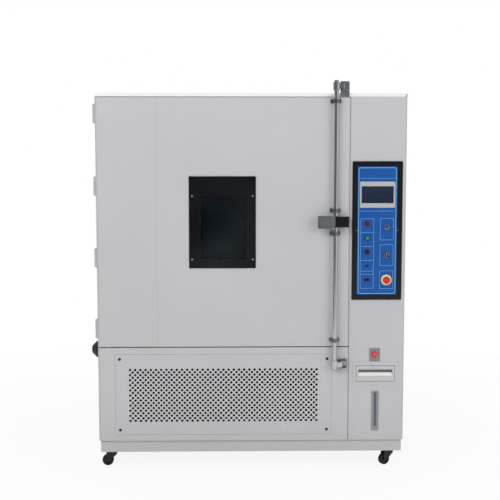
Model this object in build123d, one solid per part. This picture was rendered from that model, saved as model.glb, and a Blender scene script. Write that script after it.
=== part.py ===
from build123d import *
import os

os.makedirs("parts", exist_ok=True)

# Environmental test chamber of about one cubic metre on four casters.
# Millimetres. X to the right, Y to the back, Z up. The origin is on the floor, under the middle
# of the whole object, so the body itself stands a little right of it and a little behind it.

# Driving dimensions of the body
BODY_D = 1450
CASTER_H = 96
BASE_H = 66
LOWER_H = 532
COVER_H = 18
COLUMN_W = 312
BODY_OFFSET_X = 25
BODY_OFFSET_Y = 20
SHEET = 2
EDGE_R = 20
SMALL_R = 3

# Door and the gaps round it
DOOR_T = 110
DOOR_GAP = 6
SIDE_GAP = 5
TOP_GAP = 4
GASKET_T = 8
GASKET_W = 30
PLUG_T = 40
PLUG_CLEARANCE = 15
PANEL_JOINT_X = 334
JOINT_GROOVE = 0.8

# Work space and the walls round it
SPACE_W = 1100
SPACE_H = 1050
SPACE_D = 900
SPACE_FLOOR = 183
DOOR_OVER_SPACE = 156
SIDE_WALL = 153
JAMB_T = 30
DUCT_D = 170
BACK_FOAM_T = 110

# Window in the door
WINDOW_SHIFT_X = -2.5
WINDOW_SHIFT_Z = 5.5
WINDOW_PLATE_W = 370
WINDOW_PLATE_H = 510
WINDOW_PLATE_T = 4
GLASS_W = 255
GLASS_H = 346
GLASS_SHIFT_X = 5.5
GLASS_SHIFT_Z = -31
PANE_T = 6
PANE_COUNT = 4

# Hinges on the left side
HINGE_COUNT = 4
HINGE_FROM_DOOR_FOOT = 85
HINGE_FROM_DOOR_TOP = 83
HINGE_H = 104
HINGE_AXIS_OUT = 14
KNUCKLE_R = 12
HINGE_PIN_R = 4
HINGE_FIT = 0.05
HINGE_LEAF_W = 55
HINGE_LEAF_T = 3
HINGE_LEAF_R = 8
HINGE_PIN_PROUD = 4
KNUCKLE_GAP = 0.5

# Lock rod, cams, keepers and guides
ROD_FROM_DOOR_EDGE = 79
ROD_OUT = 30
ROD_R = 12.5
ROD_BORE_R = 10
ROD_TOP_OVER_DOOR = 92
ROD_FOOT_UNDER_DOOR = 122
CAM_R = 18
CAM_H = 46
CAM_NOSE = 44
CAM_NOSE_T = 15
CAM_NOSE_H = 28
CAM_CHAMFER = 2
ROD_NUB_H = 10
KEEPER_W = 50
KEEPER_T = 5
KEEPER_H = 58
KEEPER_CHEEK_T = 4
KEEPER_CHEEK_D = 34
KEEPER_FROM_ROD = 24
KEEPER_POST_R = 4
KEEPER_POST_FROM_TIP = 6
KEEPER_SLACK = 2.5
KEEPER_R = 5
KEEPER_FOOT = 44
GUIDE_W = 60
GUIDE_H = 22
GUIDE_T = 3
GUIDE_WALL = 5
GUIDE_CLEARANCE = 0.3
GUIDE_SCREW_R = 4
GUIDE_SCREW_T = 2.5
GUIDE_SCREW_PITCH = 48
GUIDE_FROM_DOOR_FOOT = 27
GUIDE_UNDER_LEVER = 77
GUIDE_OVER_LEVER = 50
GUIDE_FROM_DOOR_TOP = 32

# Lever and the case that carries it
LEVER_L = 91
LEVER_H = 71
LEVER_T = 3
LEVER_DEPTH = 18
LEVER_OVER_MIDDLE = 10.5
LEVER_PIVOT_FROM_ROD = 10
LEVER_PIVOT_OUT = 58
LEVER_END = 4
LEVER_FACE_OUT = 8
LEVER_LIP = 5
LEVER_LIP_SHORT = 14
LEVER_PIN_R = 3
CASE_W = 72
CASE_H = 60
CASE_OUT = 68
CASE_GAP = 9.5
CASE_EAR_T = 6
CASE_EAR_GAP = 0.6
CASE_EAR_R = 4.5
CASE_ARM_BEHIND_PIN = 7
CASE_ARM_D = 7
CASE_R = 5

# Control panel on the right-hand column
PANEL_SHIFT_X = -6
PANEL_MARGIN = 17
PANEL_W = COLUMN_W - 2 * PANEL_MARGIN
PANEL_H = 771
PANEL_FROM_FOOT = 1187
PANEL_RIM = 23
PANEL_T = 8
PANEL_R = 6
PANEL_CHAMFER = 2
FASCIA_T = 3
CUTOUT_RIM = 8
SCREEN_W = 196
SCREEN_H = 145
SCREEN_T = 6
SCREEN_GLASS_W = 178
SCREEN_GLASS_H = 94
SCREEN_FROM_MIDDLE = 201
SCREEN_BODY_INSET = 12
SCREEN_BODY_D = 45
DEVICE_LEFT_SHIFT = 55
DEVICE_RIGHT_SHIFT = 54
DEVICES_FROM_MIDDLE = 39
DEVICE_PITCH = 78
BEZEL_R = 14.5
BEZEL_T = 5
CAP_R = 10.5
CAP_PROUD = 1
BUTTON_TRAVEL = 3
DEVICE_EDGE = 1.5
LAMP_PROUD = 9
PORT_FRAME = (17, 11)
PORT_HOLE = (12, 5)
SOCKET_FRAME = (28, 16)
SOCKET_HOLE = (19, 8)
SOCKET_PROUD = 3
DEVICE_CLEARANCE = 0.4
KEY_FROM_MIDDLE = 21
SELECTOR_FROM_MIDDLE = -133
ESTOP_FROM_MIDDLE = -274
ESTOP_COLLAR_R = 30
ESTOP_COLLAR_T = 7
ESTOP_HEAD_R = 20
ESTOP_STEM_R = 10
ESTOP_TRAVEL = 5
ESTOP_HEAD_T = 14
BARREL_BEHIND = 4
REST_TURN = 45
KEY_T = 2.5
KEY_L = 22
KEY_BLADE_W = 8
KEY_BOW = 21
ROTARY_L = 30
ROTARY_W = 9
ROTARY_OUT = 7

# Column fittings under the control panel
OVERTEMP_FROM_FOOT = 489
OVERTEMP_SHIFT_X = -5
OVERTEMP_W = 59
OVERTEMP_H = 74
OVERTEMP_DIAL_R = 18
OVERTEMP_DIAL_T = 12
OVERTEMP_SHAFT_R = 5
OVERTEMP_HOLE_R = 8
DRAWER_FROM_FOOT = 382
DRAWER_FRAME_MARGIN = 27.5
DRAWER_FRAME_W = COLUMN_W - 2 * DRAWER_FRAME_MARGIN
DRAWER_FRAME_H = 130
DRAWER_RIM = 20.5
DRAWER_W = DRAWER_FRAME_W - 2 * DRAWER_RIM
DRAWER_H = 88
DRAWER_GAP = 2
DRAWER_DEPTH = 300
DRAWER_WALL = 4
DRAWER_FRONT_T = 26
SCOOP_R = 17.5
SCOOP_FROM_TOP = 38.75
SCOOP_FROM_SIDE = 12
RUNNER_T = 3
RUNNER_GAP = 0.3
RUNNER_H = 40
RUNNER_LEDGE = 14
GAUGE_FROM_FOOT = 168
GAUGE_W = 39
GAUGE_H = 224
GAUGE_SLOT_W = 13
GAUGE_SLOT_H = 199
GAUGE_SLOT_SHIFT = 6
TRIM_T = 3

# Grille panel of the lower front
GRILLE_FROM_SIDE = 96.5
GRILLE_H = 458
GRILLE_FROM_FOOT = 265
GRILLE_GAP = 1.5
GRILLE_LEDGE = 25
GRILLE_R = 4

# Service port in the left side
PORT_FROM_FRONT = 173
PORT_FROM_FOOT = 494
PORT_BORE_R = 30
PORT_TUBE_R = 34
PORT_FLANGE_R = 44
PORT_FLANGE_T = 4
PORT_TUBE_L = 62
PORT_PLUG_R = 47
PORT_PLUG_OUT = 49
PORT_PLUG_TIP_R = 20
PORT_PLUG_EDGE = 5
PORT_STEM_L = 36
PORT_CLEARANCE = 0.3

# Casters
CASTER_INSET_X = 71
CASTER_INSET_Y = 80
CASTER_WHEEL_R = 32
CASTER_WHEEL_W = 26
CASTER_TRAIL = 30
CASTER_PLATE = 80
CASTER_PLATE_T = 4
CASTER_NECK_R = 14
CASTER_NECK_H = 8
CASTER_AXLE_R = 4
CASTER_FIT = 0.05
FORK_T = 3
FORK_GAP = 1.5
FORK_BEHIND = 22
FORK_AHEAD = 8
FORK_BOSS_R = 10
CASTER_CUP_R = 30
CASTER_CROWN_GAP = 1
TYRE_T = 9
TYRE_EDGE = 5
HUB_RECESS = 4
CASTER_HEADINGS = {"front_left": 180, "front_right": 205, "rear_left": 90, "rear_right": 75}

# Chassis, rear wall and lamp
RAIL_W = 50
PLINTH_INSET = 10
TUBE_WALL = 3
POST = 40
POST_SETBACK = 110
FLOOR_T = 3
GLAND_FROM_FOOT = 160
GLAND_R = 16
GLAND_BORE_R = 9
GLAND_NUT_R = 22
GLAND_NUT_T = 8
GLAND_CAP_T = 12
LOUVRE_W = 420
LOUVRE_H = 12
LOUVRE_PITCH = 40
LOUVRE_ROWS = 8
LOUVRE_FROM_MIDDLE = 300
LOUVRE_FROM_FOOT = 118
LAMP_FROM_RIGHT = 160
LAMP_FROM_FRONT = 220
LAMP_R = 55
LAMP_BASE_T = 12
LAMP_LENS_R = 42
LAMP_LENS_H = 34

# Air duct, circulation fan and its motor
DUCT_SLOT_W = 70
DUCT_SLOT_H = 10
DUCT_SLOT_PITCH = 100
DUCT_SLOT_ROW = 27
FAN_FROM_SPACE_TOP = 230
FAN_FROM_DUCT = 30
FAN_PLATE_T = 4
FAN_HUB_R = 28
FAN_HUB_L = 44
FAN_RING_W = 34
FAN_BLADE_W = 28
FAN_BLADE_T = 3
FAN_R = 150
FAN_DEPTH = 80
FAN_BLADES = 12
SHAFT_R = 8
SHAFT_CLEARANCE = 4
SHAFT_FIT = 0.05
MOTOR_R = 70
MOTOR_L = 118
MOTOR_FLANGE = 160
MOTOR_FLANGE_T = 8
MOTOR_SHAFT_L = 45
TERMINAL_BOX = 60

# Cooling, heating and humidity behind the air duct
EVAPORATOR_FROM_DUCT = 36
EVAPORATOR_FROM_FLOOR = 60
EVAPORATOR_D = 100
EVAPORATOR_H = 270
EVAPORATOR_SIDE_GAP = 70
COIL_ROWS = 4
COIL_TUBE_R = 6
COIL_BEND = 20
HEATER_W = 760
HEATER_FROM_DUCT = 86
HEATER_FROM_FLOOR = 400
HEATER_RODS = 3
HEATER_ROD_R = 7
HEATER_PITCH = 45

# Machines under the work space
CONDENSER_W = 520
CONDENSER_H = 380
CONDENSER_D = 80
CONDENSER_FROM_FRONT = 150
CONDENSER_FROM_LEFT = 180
CONDENSER_ROWS = 12
FIN_GROOVE_H = 14
FIN_GROOVE_D = 8
SHROUD_D = 60
SHROUD_T = 3
SHROUD_TIP_GAP = 6
SPOKE_T = 5
CONDENSER_FAN_R = 160
CONDENSER_BLADES = 5
CONDENSER_BLADE_W = 70
CONDENSER_BLADE_PITCH = 28
FAN_CORE_R = 34
FAN_CORE_L = 36
FAN_MOTOR_L = 70
FAN_SHAFT_R = 5
FAN_SHAFT_L = 32
COMPRESSOR_R = 95
COMPRESSOR_H = 330
COMPRESSOR_BASE = 230
COMPRESSOR_FOOT_T = 14
COMPRESSOR_FROM_SEAM = 640
COMPRESSOR_SHIFTS = (-260, 140)

# Water and control gear behind the column
TANK_W = 240
TANK_D = 360
TANK_H = 270
TANK_FROM_SEAM = 40
TANK_NECK_R = 28
PUMP_R = 32
PUMP_L = 80
PUMP_GAP = 10
PUMP_INLET_R = 9
HUMIDIFIER_R = 60
HUMIDIFIER_H = 300
HUMIDIFIER_STAND_T = 10
HUMIDIFIER_SHIFT_X = 40
HUMIDIFIER_FROM_SEAM = 590
STEAM_PIPE_R = 16
STEAM_PIPE_L = 45
GEAR_FROM_SEAM = 220
GEAR_FROM_FOOT = 818
GEAR_ROWS = 3
GEAR_ROW_PITCH = 260
GEAR_COUNT = 6
GEAR_PITCH = 110
GEAR_W = 70
GEAR_D = 70
GEAR_H = 84
DIN_RAIL_T = 8
DIN_RAIL_H = 35
SUPPLY_H = 120

# Shelves
SHELF_HEIGHTS = (330, 690)
SHELF_WIRES = 14
WIRE_R = 3
SHELF_BAR = 10
SHELF_D = 700
SHELF_BACK_GAP = 60
SHELF_INSET = 5
UPRIGHT_W = 25
UPRIGHT_T = 12
UPRIGHT_INSET = 60

# Places that follow from the sizes
DOOR_W = SPACE_W + 2 * SIDE_WALL + SHEET - SIDE_GAP
DOOR_H = SPACE_FLOOR - DOOR_GAP + SPACE_H + DOOR_OVER_SPACE
BODY_W = DOOR_W + SIDE_GAP + COLUMN_W
LEFT = BODY_OFFSET_X - BODY_W / 2
RIGHT = LEFT + BODY_W
FRONT = BODY_OFFSET_Y - BODY_D / 2
REAR = FRONT + BODY_D
BODY_FOOT = CASTER_H + BASE_H
LOWER_TOP = BODY_FOOT + LOWER_H
DOOR_FOOT = LOWER_TOP + DOOR_GAP
DOOR_TOP = DOOR_FOOT + DOOR_H
COVER_FOOT = DOOR_TOP + TOP_GAP
TOP = COVER_FOOT + COVER_H
DOOR_RIGHT = LEFT + DOOR_W
COLUMN_LEFT = DOOR_RIGHT + SIDE_GAP
PARTITION = COLUMN_LEFT - SHEET
DOOR_BACK = FRONT + DOOR_T
SEAM = DOOR_BACK + GASKET_T
SPACE_X = (LEFT + PARTITION) / 2
SPACE_LEFT = SPACE_X - SPACE_W / 2
SPACE_RIGHT = SPACE_X + SPACE_W / 2
SPACE_FOOT = LOWER_TOP + SPACE_FLOOR
SPACE_TOP = SPACE_FOOT + SPACE_H
DUCT_FRONT = SEAM + SPACE_D
LINER_BACK = DUCT_FRONT + SHEET + DUCT_D
FOAM_BACK = LINER_BACK + SHEET + BACK_FOAM_T
COLUMN_X = RIGHT - COLUMN_W / 2 + PANEL_SHIFT_X
WINDOW_X = LEFT + DOOR_W / 2 + WINDOW_SHIFT_X
WINDOW_Z = DOOR_FOOT + DOOR_H / 2 + WINDOW_SHIFT_Z
GLASS_X = WINDOW_X + GLASS_SHIFT_X
GLASS_Z = WINDOW_Z + GLASS_SHIFT_Z
HINGE_PITCH = (DOOR_H - HINGE_FROM_DOOR_FOOT - HINGE_FROM_DOOR_TOP) / (HINGE_COUNT - 1)
HINGE_X = LEFT - HINGE_AXIS_OUT
HINGE_Y = DOOR_BACK + GASKET_T / 2
ROD_X = DOOR_RIGHT - ROD_FROM_DOOR_EDGE
ROD_Y = FRONT - ROD_OUT
ROD_TOP = DOOR_TOP + ROD_TOP_OVER_DOOR
ROD_FOOT = DOOR_FOOT - ROD_FOOT_UNDER_DOOR
LEVER_X = ROD_X - LEVER_PIVOT_FROM_ROD
LEVER_Y = FRONT - LEVER_PIVOT_OUT
LEVER_Z = DOOR_FOOT + DOOR_H / 2 + LEVER_OVER_MIDDLE
GUIDE_FEET = (
    DOOR_FOOT + GUIDE_FROM_DOOR_FOOT,
    LEVER_Z - GUIDE_UNDER_LEVER,
    LEVER_Z + GUIDE_OVER_LEVER,
    DOOR_TOP - GUIDE_FROM_DOOR_TOP,
)
PANEL_FACE = FRONT - PANEL_T
FASCIA_FACE = FRONT - PANEL_T + FASCIA_T
FAN_Z = SPACE_TOP - FAN_FROM_SPACE_TOP
PORT_Y = FRONT + PORT_FROM_FRONT
PORT_Z = BODY_FOOT + PORT_FROM_FOOT
GRILLE_W = PARTITION - LEFT - 2 * GRILLE_FROM_SIDE
GRILLE_Z = BODY_FOOT + GRILLE_FROM_FOOT
GAUGE_Z = BODY_FOOT + GAUGE_FROM_FOOT
DRAWER_Z = BODY_FOOT + DRAWER_FROM_FOOT
OVERTEMP_X = COLUMN_X + OVERTEMP_SHIFT_X
OVERTEMP_Z = BODY_FOOT + OVERTEMP_FROM_FOOT
PANEL_Z = BODY_FOOT + PANEL_FROM_FOOT
SCREEN_Z = PANEL_Z + SCREEN_FROM_MIDDLE
KEY_Z = PANEL_Z + KEY_FROM_MIDDLE
SELECTOR_Z = PANEL_Z + SELECTOR_FROM_MIDDLE
ESTOP_Z = PANEL_Z + ESTOP_FROM_MIDDLE
DEVICE_Z = [PANEL_Z + DEVICES_FROM_MIDDLE - DEVICE_PITCH * n for n in range(5)]
DEVICE_LEFT = COLUMN_X - DEVICE_LEFT_SHIFT
DEVICE_RIGHT = COLUMN_X + DEVICE_RIGHT_SHIFT
MACHINE_FOOT = BODY_FOOT + FLOOR_T


def block(x, y, z):
    middle = [(a + b) / 2 for a, b in (x, y, z)]
    return Pos(*middle) * Box(x[1] - x[0], y[1] - y[0], z[1] - z[0])


def rod_x(radius, x, y, z):
    return Pos((x[0] + x[1]) / 2, y, z) * Rot(0, 90, 0) * Cylinder(radius, x[1] - x[0])


def rod_y(radius, x, y, z):
    return Pos(x, (y[0] + y[1]) / 2, z) * Rot(90, 0, 0) * Cylinder(radius, y[1] - y[0])


def rod_z(radius, x, y, z):
    return Pos(x, y, (z[0] + z[1]) / 2) * Cylinder(radius, z[1] - z[0])


def span(middle, size):
    return (middle - size / 2, middle + size / 2)


def group(*pieces):
    return Compound(children=[solid for piece in pieces for solid in piece.solids()])


def upright_edge(shape, x, y):
    edges = shape.edges().filter_by(Axis.Z)
    return min(edges, key=lambda e: abs(e.center().X - x) + abs(e.center().Y - y))


def window_hole(y, wall=0):
    return block(span(GLASS_X, GLASS_W + 2 * wall), y, span(GLASS_Z, GLASS_H + 2 * wall))


# Chassis and outer skins
def box_tube(x, y, z, along):
    ranges = {"X": x, "Y": y, "Z": z}
    inner = {k: v if k == along else (v[0] + TUBE_WALL, v[1] - TUBE_WALL) for k, v in ranges.items()}
    return block(x, y, z) - block(inner["X"], inner["Y"], inner["Z"])


def chassis_frame():
    x = (LEFT + PLINTH_INSET, RIGHT - PLINTH_INSET)
    y = (FRONT + PLINTH_INSET, REAR - PLINTH_INSET)
    z = (CASTER_H, BODY_FOOT)
    inner_y = (y[0] + RAIL_W, y[1] - RAIL_W)
    pieces = [box_tube(x, (y[0], inner_y[0]), z, "X"), box_tube(x, (inner_y[1], y[1]), z, "X")]
    middle = PARTITION + SHEET / 2
    for rail_x in ((x[0], x[0] + RAIL_W), span(SPACE_X, RAIL_W), span(middle, RAIL_W), (x[1] - RAIL_W, x[1])):
        pieces.append(box_tube(rail_x, inner_y, z, "Y"))
    inside_x = (LEFT + SHEET, RIGHT - SHEET)
    pieces.append(block(inside_x, (SEAM, REAR - SHEET), (BODY_FOOT, BODY_FOOT + FLOOR_T)))
    deck = (LOWER_TOP - FLOOR_T, LOWER_TOP)
    pieces.append(block((inside_x[0], PARTITION), (SEAM, FOAM_BACK), deck))
    post_z = (BODY_FOOT + FLOOR_T, deck[0])
    front_post = SEAM + POST_SETBACK
    for post_x in ((inside_x[0], inside_x[0] + POST), (PARTITION - POST, PARTITION)):
        for post_y in ((front_post, front_post + POST), (FOAM_BACK - POST, FOAM_BACK)):
            pieces.append(box_tube(post_x, post_y, post_z, "Z"))
    tall_z = (BODY_FOOT + FLOOR_T, TOP - SHEET)
    for post_y in ((front_post, front_post + POST), (REAR - SHEET - POST, REAR - SHEET)):
        pieces.append(box_tube((inside_x[1] - POST, inside_x[1]), post_y, tall_z, "Z"))
    back = block((inside_x[0], PARTITION), (FOAM_BACK, FOAM_BACK + SHEET), (deck[0], TOP - SHEET))
    pieces.append(back - shaft_hole((FOAM_BACK - 1, FOAM_BACK + SHEET + 1)))
    return group(*pieces)


def side_panel_left():
    panel = block((LEFT, LEFT + SHEET), (SEAM, REAR), (BODY_FOOT, COVER_FOOT))
    panel -= rod_x(PORT_TUBE_R, (LEFT - 1, LEFT + SHEET + 1), PORT_Y, PORT_Z)
    return group(panel, service_port_collar())


def side_panel_right():
    return block((RIGHT - SHEET, RIGHT), (SEAM, REAR), (BODY_FOOT, COVER_FOOT))


def rear_panel():
    through = (REAR - SHEET - 1, REAR + 1)
    panel = block((LEFT + SHEET, RIGHT - SHEET), (REAR - SHEET, REAR), (MACHINE_FOOT, COVER_FOOT))
    slots = []
    for row in range(LOUVRE_ROWS):
        slot_z = span(BODY_FOOT + LOUVRE_FROM_FOOT + LOUVRE_PITCH * row, LOUVRE_H)
        for side in (-1, 1):
            slots.append(block(span(SPACE_X + side * LOUVRE_FROM_MIDDLE, LOUVRE_W), through, slot_z))
    for row in range(LOUVRE_ROWS // 2):
        slot_z = span(FAN_Z + LOUVRE_PITCH * (row - LOUVRE_ROWS / 4 + 0.5), LOUVRE_H)
        slots.append(block(span(SPACE_X, LOUVRE_W), through, slot_z))
    hole = rod_y(GLAND_R, COLUMN_X, through, BODY_FOOT + GLAND_FROM_FOOT)
    return group(panel - slots - hole, cable_gland())


def cable_gland():
    z = BODY_FOOT + GLAND_FROM_FOOT
    nut_back = REAR + GLAND_NUT_T
    cap_back = nut_back + GLAND_CAP_T
    front = REAR - SHEET - GLAND_NUT_T
    hexagon = Rot(90, 0, 0) * extrude(RegularPolygon(GLAND_NUT_R, 6), GLAND_NUT_T / 2, both=True)
    nut = Pos(COLUMN_X, (REAR + nut_back) / 2, z) * hexagon
    locknut = Pos(COLUMN_X, (front + REAR - SHEET) / 2, z) * hexagon
    cap = rod_y(GLAND_R + 1, COLUMN_X, (nut_back, cap_back), z)
    cap = fillet(cap.edges().sort_by(Axis.Y)[-1], SMALL_R)
    body = rod_y(GLAND_R, COLUMN_X, (front - 2, REAR + 1), z)
    return body + nut + cap + locknut - rod_y(GLAND_BORE_R, COLUMN_X, (front - 3, cap_back + 1), z)


def top_cover():
    outer = block((LEFT, RIGHT), (FRONT, REAR), (COVER_FOOT, TOP))
    front_top = outer.edges().filter_by(Axis.X).sort_by(lambda e: e.center().Z - e.center().Y)[-1]
    outer = fillet(front_top, COVER_H - SMALL_R - SHEET)
    corners = [upright_edge(outer, x, FRONT) for x in (LEFT, RIGHT)]
    outer = fillet(corners, SMALL_R)
    inner_y = (FRONT + COVER_H, REAR - SHEET)
    inner = block((LEFT + SHEET, RIGHT - SHEET), inner_y, (COVER_FOOT - 1, TOP - SHEET))
    return outer - inner


def front_frame():
    y = (SEAM, SEAM + JAMB_T)
    full_x = (LEFT + SHEET, PARTITION)
    stile_z = (LOWER_TOP, COVER_FOOT)
    return group(
        block((full_x[0], SPACE_LEFT), y, stile_z),
        block((SPACE_RIGHT, full_x[1]), y, stile_z),
        block((SPACE_LEFT, SPACE_RIGHT), y, (LOWER_TOP, SPACE_FOOT)),
        block((SPACE_LEFT, SPACE_RIGHT), y, (SPACE_TOP, COVER_FOOT)),
    )


def shaft_hole(y):
    return rod_y(SHAFT_R + SHAFT_CLEARANCE, SPACE_X, y, FAN_Z)


def inner_liner():
    y = (SEAM + JAMB_T, LINER_BACK)
    side_z = (SPACE_FOOT - SHEET, SPACE_TOP + SHEET)
    back = block((SPACE_LEFT - SHEET, SPACE_RIGHT + SHEET), (LINER_BACK, LINER_BACK + SHEET), side_z)
    return group(
        block((SPACE_LEFT - SHEET, SPACE_LEFT), y, side_z),
        block((SPACE_RIGHT, SPACE_RIGHT + SHEET), y, side_z),
        block((SPACE_LEFT, SPACE_RIGHT), y, (SPACE_FOOT - SHEET, SPACE_FOOT)),
        block((SPACE_LEFT, SPACE_RIGHT), y, (SPACE_TOP, SPACE_TOP + SHEET)),
        back - shaft_hole((LINER_BACK - 1, LINER_BACK + SHEET + 1)),
        *shelf_rails(),
    )


def insulation():
    y = (SEAM + JAMB_T, LINER_BACK + SHEET)
    z = (LOWER_TOP, TOP - SHEET)
    inner_x = (SPACE_LEFT - SHEET, SPACE_RIGHT + SHEET)
    back = block((LEFT + SHEET, PARTITION), (y[1], FOAM_BACK), z)
    return group(
        block((LEFT + SHEET, inner_x[0]), y, z),
        block((inner_x[1], PARTITION), y, z),
        block(inner_x, y, (z[0], SPACE_FOOT - SHEET)),
        block(inner_x, y, (SPACE_TOP + SHEET, z[1])),
        back - shaft_hole((y[1] - 1, FOAM_BACK + 1)),
    )


def air_duct_panel():
    panel = block((SPACE_LEFT, SPACE_RIGHT), (DUCT_FRONT, DUCT_FRONT + SHEET), (SPACE_FOOT, SPACE_TOP))
    through = (DUCT_FRONT - 1, DUCT_FRONT + SHEET + 1)
    count = int(SPACE_W // DUCT_SLOT_PITCH) - 1
    low = [SPACE_FOOT + DUCT_SLOT_ROW * (n + 2) for n in range(3)]
    high = [SPACE_TOP - DUCT_SLOT_ROW * (n + 2) for n in range(2)]
    slots = []
    for row_z in low + high:
        for n in range(count):
            slot_x = SPACE_X + (n - (count - 1) / 2) * DUCT_SLOT_PITCH
            slots.append(block(span(slot_x, DUCT_SLOT_W), through, span(row_z, DUCT_SLOT_H)))
    return panel - slots


# Shelves inside the work space
def shelf_rails():
    z = (SPACE_FOOT + SHEET, SPACE_TOP - UPRIGHT_INSET)
    shelf_back = DUCT_FRONT - SHELF_BACK_GAP
    slot = UPRIGHT_W - 2 * SHEET
    rails = []
    for rail_y in (shelf_back - UPRIGHT_INSET, shelf_back - SHELF_D + UPRIGHT_INSET):
        for side, x in ((1, SPACE_LEFT), (-1, SPACE_RIGHT)):
            outer = block(sorted((x, x + side * UPRIGHT_T)), span(rail_y, UPRIGHT_W), z)
            inner = block(sorted((x + side * SHEET, x + side * UPRIGHT_T)), span(rail_y, slot), z)
            rails.append(outer - inner)
    return rails


def shelves():
    x = (SPACE_LEFT + UPRIGHT_T, SPACE_RIGHT - UPRIGHT_T)
    back = DUCT_FRONT - SHELF_BACK_GAP
    y = (back - SHELF_D, back)
    made = []
    for height in SHELF_HEIGHTS:
        z = (SPACE_FOOT + height, SPACE_FOOT + height + SHELF_BAR)
        shelf = block(x, (y[0], y[0] + SHELF_BAR), z) + block(x, (y[1] - SHELF_BAR, y[1]), z)
        shelf += block((x[0], x[0] + SHELF_BAR), y, z) + block((x[1] - SHELF_BAR, x[1]), y, z)
        pitch = SHELF_D / (SHELF_WIRES + 1)
        for n in range(SHELF_WIRES):
            wire_x = (x[0] + SHELF_INSET, x[1] - SHELF_INSET)
            shelf += rod_x(WIRE_R, wire_x, y[0] + pitch * (n + 1), z[1] - WIRE_R)
        made.append(shelf)
    return group(*made)


def interior_lamp():
    x = SPACE_RIGHT - LAMP_FROM_RIGHT
    y = SEAM + LAMP_FROM_FRONT
    base_foot = SPACE_TOP - LAMP_BASE_T
    base = rod_z(LAMP_R, x, y, (base_foot, SPACE_TOP))
    lens = rod_z(LAMP_LENS_R, x, y, (base_foot - LAMP_LENS_H, base_foot))
    lens = fillet(lens.edges().sort_by(Axis.Z)[0], LAMP_LENS_H / 2)
    return base + lens


# Air circulation, cooling, heating and humidity
def circulation_fan():
    front = DUCT_FRONT + SHEET + FAN_FROM_DUCT
    back = front + FAN_DEPTH
    ring_y = (front, front + FAN_PLATE_T)
    wheel = rod_y(FAN_R, SPACE_X, (back - FAN_PLATE_T, back), FAN_Z)
    wheel += rod_y(FAN_HUB_R, SPACE_X, (back - FAN_HUB_L, back), FAN_Z)
    ring = rod_y(FAN_R, SPACE_X, ring_y, FAN_Z)
    ring -= rod_y(FAN_R - FAN_RING_W, SPACE_X, (front - 1, ring_y[1] + 1), FAN_Z)
    edge = FAN_R - (FAN_RING_W - FAN_BLADE_W) / 2
    blade = block((edge - FAN_BLADE_W, edge), (front + 1, back - 1), span(0, FAN_BLADE_T))
    for n in range(FAN_BLADES):
        wheel += Pos(SPACE_X, 0, FAN_Z) * Rot(0, 360 * n / FAN_BLADES, 0) * blade
    shaft = rod_y(SHAFT_R, SPACE_X, (back - FAN_HUB_L, FOAM_BACK + SHEET + MOTOR_SHAFT_L), FAN_Z)
    return wheel + ring + shaft


def fan_motor():
    front = FOAM_BACK + SHEET
    middle = front + MOTOR_L / 2
    flange_y = (front, front + MOTOR_FLANGE_T)
    flange = block(span(SPACE_X, MOTOR_FLANGE), flange_y, span(FAN_Z, MOTOR_FLANGE))
    can = rod_y(MOTOR_R, SPACE_X, (flange_y[1], front + MOTOR_L), FAN_Z)
    can = fillet(can.edges().sort_by(Axis.Y)[-1], MOTOR_FLANGE_T)
    box_z = (FAN_Z + MOTOR_R / 2, FAN_Z + MOTOR_R + TERMINAL_BOX / 2)
    terminals = block(span(SPACE_X, TERMINAL_BOX), span(middle, TERMINAL_BOX), box_z)
    bore = rod_y(SHAFT_R + SHAFT_FIT, SPACE_X, (front - 1, front + MOTOR_SHAFT_L + 1), FAN_Z)
    return flange + can + terminals - bore


def evaporator():
    front = DUCT_FRONT + SHEET + EVAPORATOR_FROM_DUCT
    y = (front, front + EVAPORATOR_D)
    foot = SPACE_FOOT + EVAPORATOR_FROM_FLOOR
    z = (foot, foot + EVAPORATOR_H)
    half = SPACE_W / 2 - EVAPORATOR_SIDE_GAP
    reach = (SPACE_X - half - COIL_BEND, SPACE_X + half + COIL_BEND)
    tube_y = (y[0] + EVAPORATOR_D * 0.3, y[1] - EVAPORATOR_D * 0.3)
    core = block((SPACE_X - half, SPACE_X + half), (y[0] + 4, y[1] - 4), (z[0] + 4, z[1] - 4))
    for side in (-1, 1):
        core += block(span(SPACE_X + side * half, 2 * SHEET), y, (SPACE_FOOT, z[1]))
    for row in range(COIL_ROWS):
        tube_z = z[0] + EVAPORATOR_H * (row + 0.5) / COIL_ROWS
        core += [rod_x(COIL_TUBE_R, reach, column, tube_z) for column in tube_y]
        core += block(span(reach[0], COIL_TUBE_R), tube_y, span(tube_z, COIL_TUBE_R))
    return core


def heater():
    y = DUCT_FRONT + SHEET + HEATER_FROM_DUCT
    z = SPACE_FOOT + HEATER_FROM_FLOOR
    half = HEATER_W / 2
    bracket_z = (z - HEATER_PITCH / 2, z + HEATER_PITCH * (HEATER_RODS - 0.5))
    made = rod_x(HEATER_ROD_R, (SPACE_X - half, SPACE_X + half), y, z)
    for row in range(1, HEATER_RODS):
        made += rod_x(HEATER_ROD_R, (SPACE_X - half, SPACE_X + half), y, z + HEATER_PITCH * row)
    for side in (-1, 1):
        made += block(span(SPACE_X + side * half, 4 * SHEET), (y - 2 * HEATER_ROD_R, LINER_BACK), bracket_z)
    return made


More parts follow.
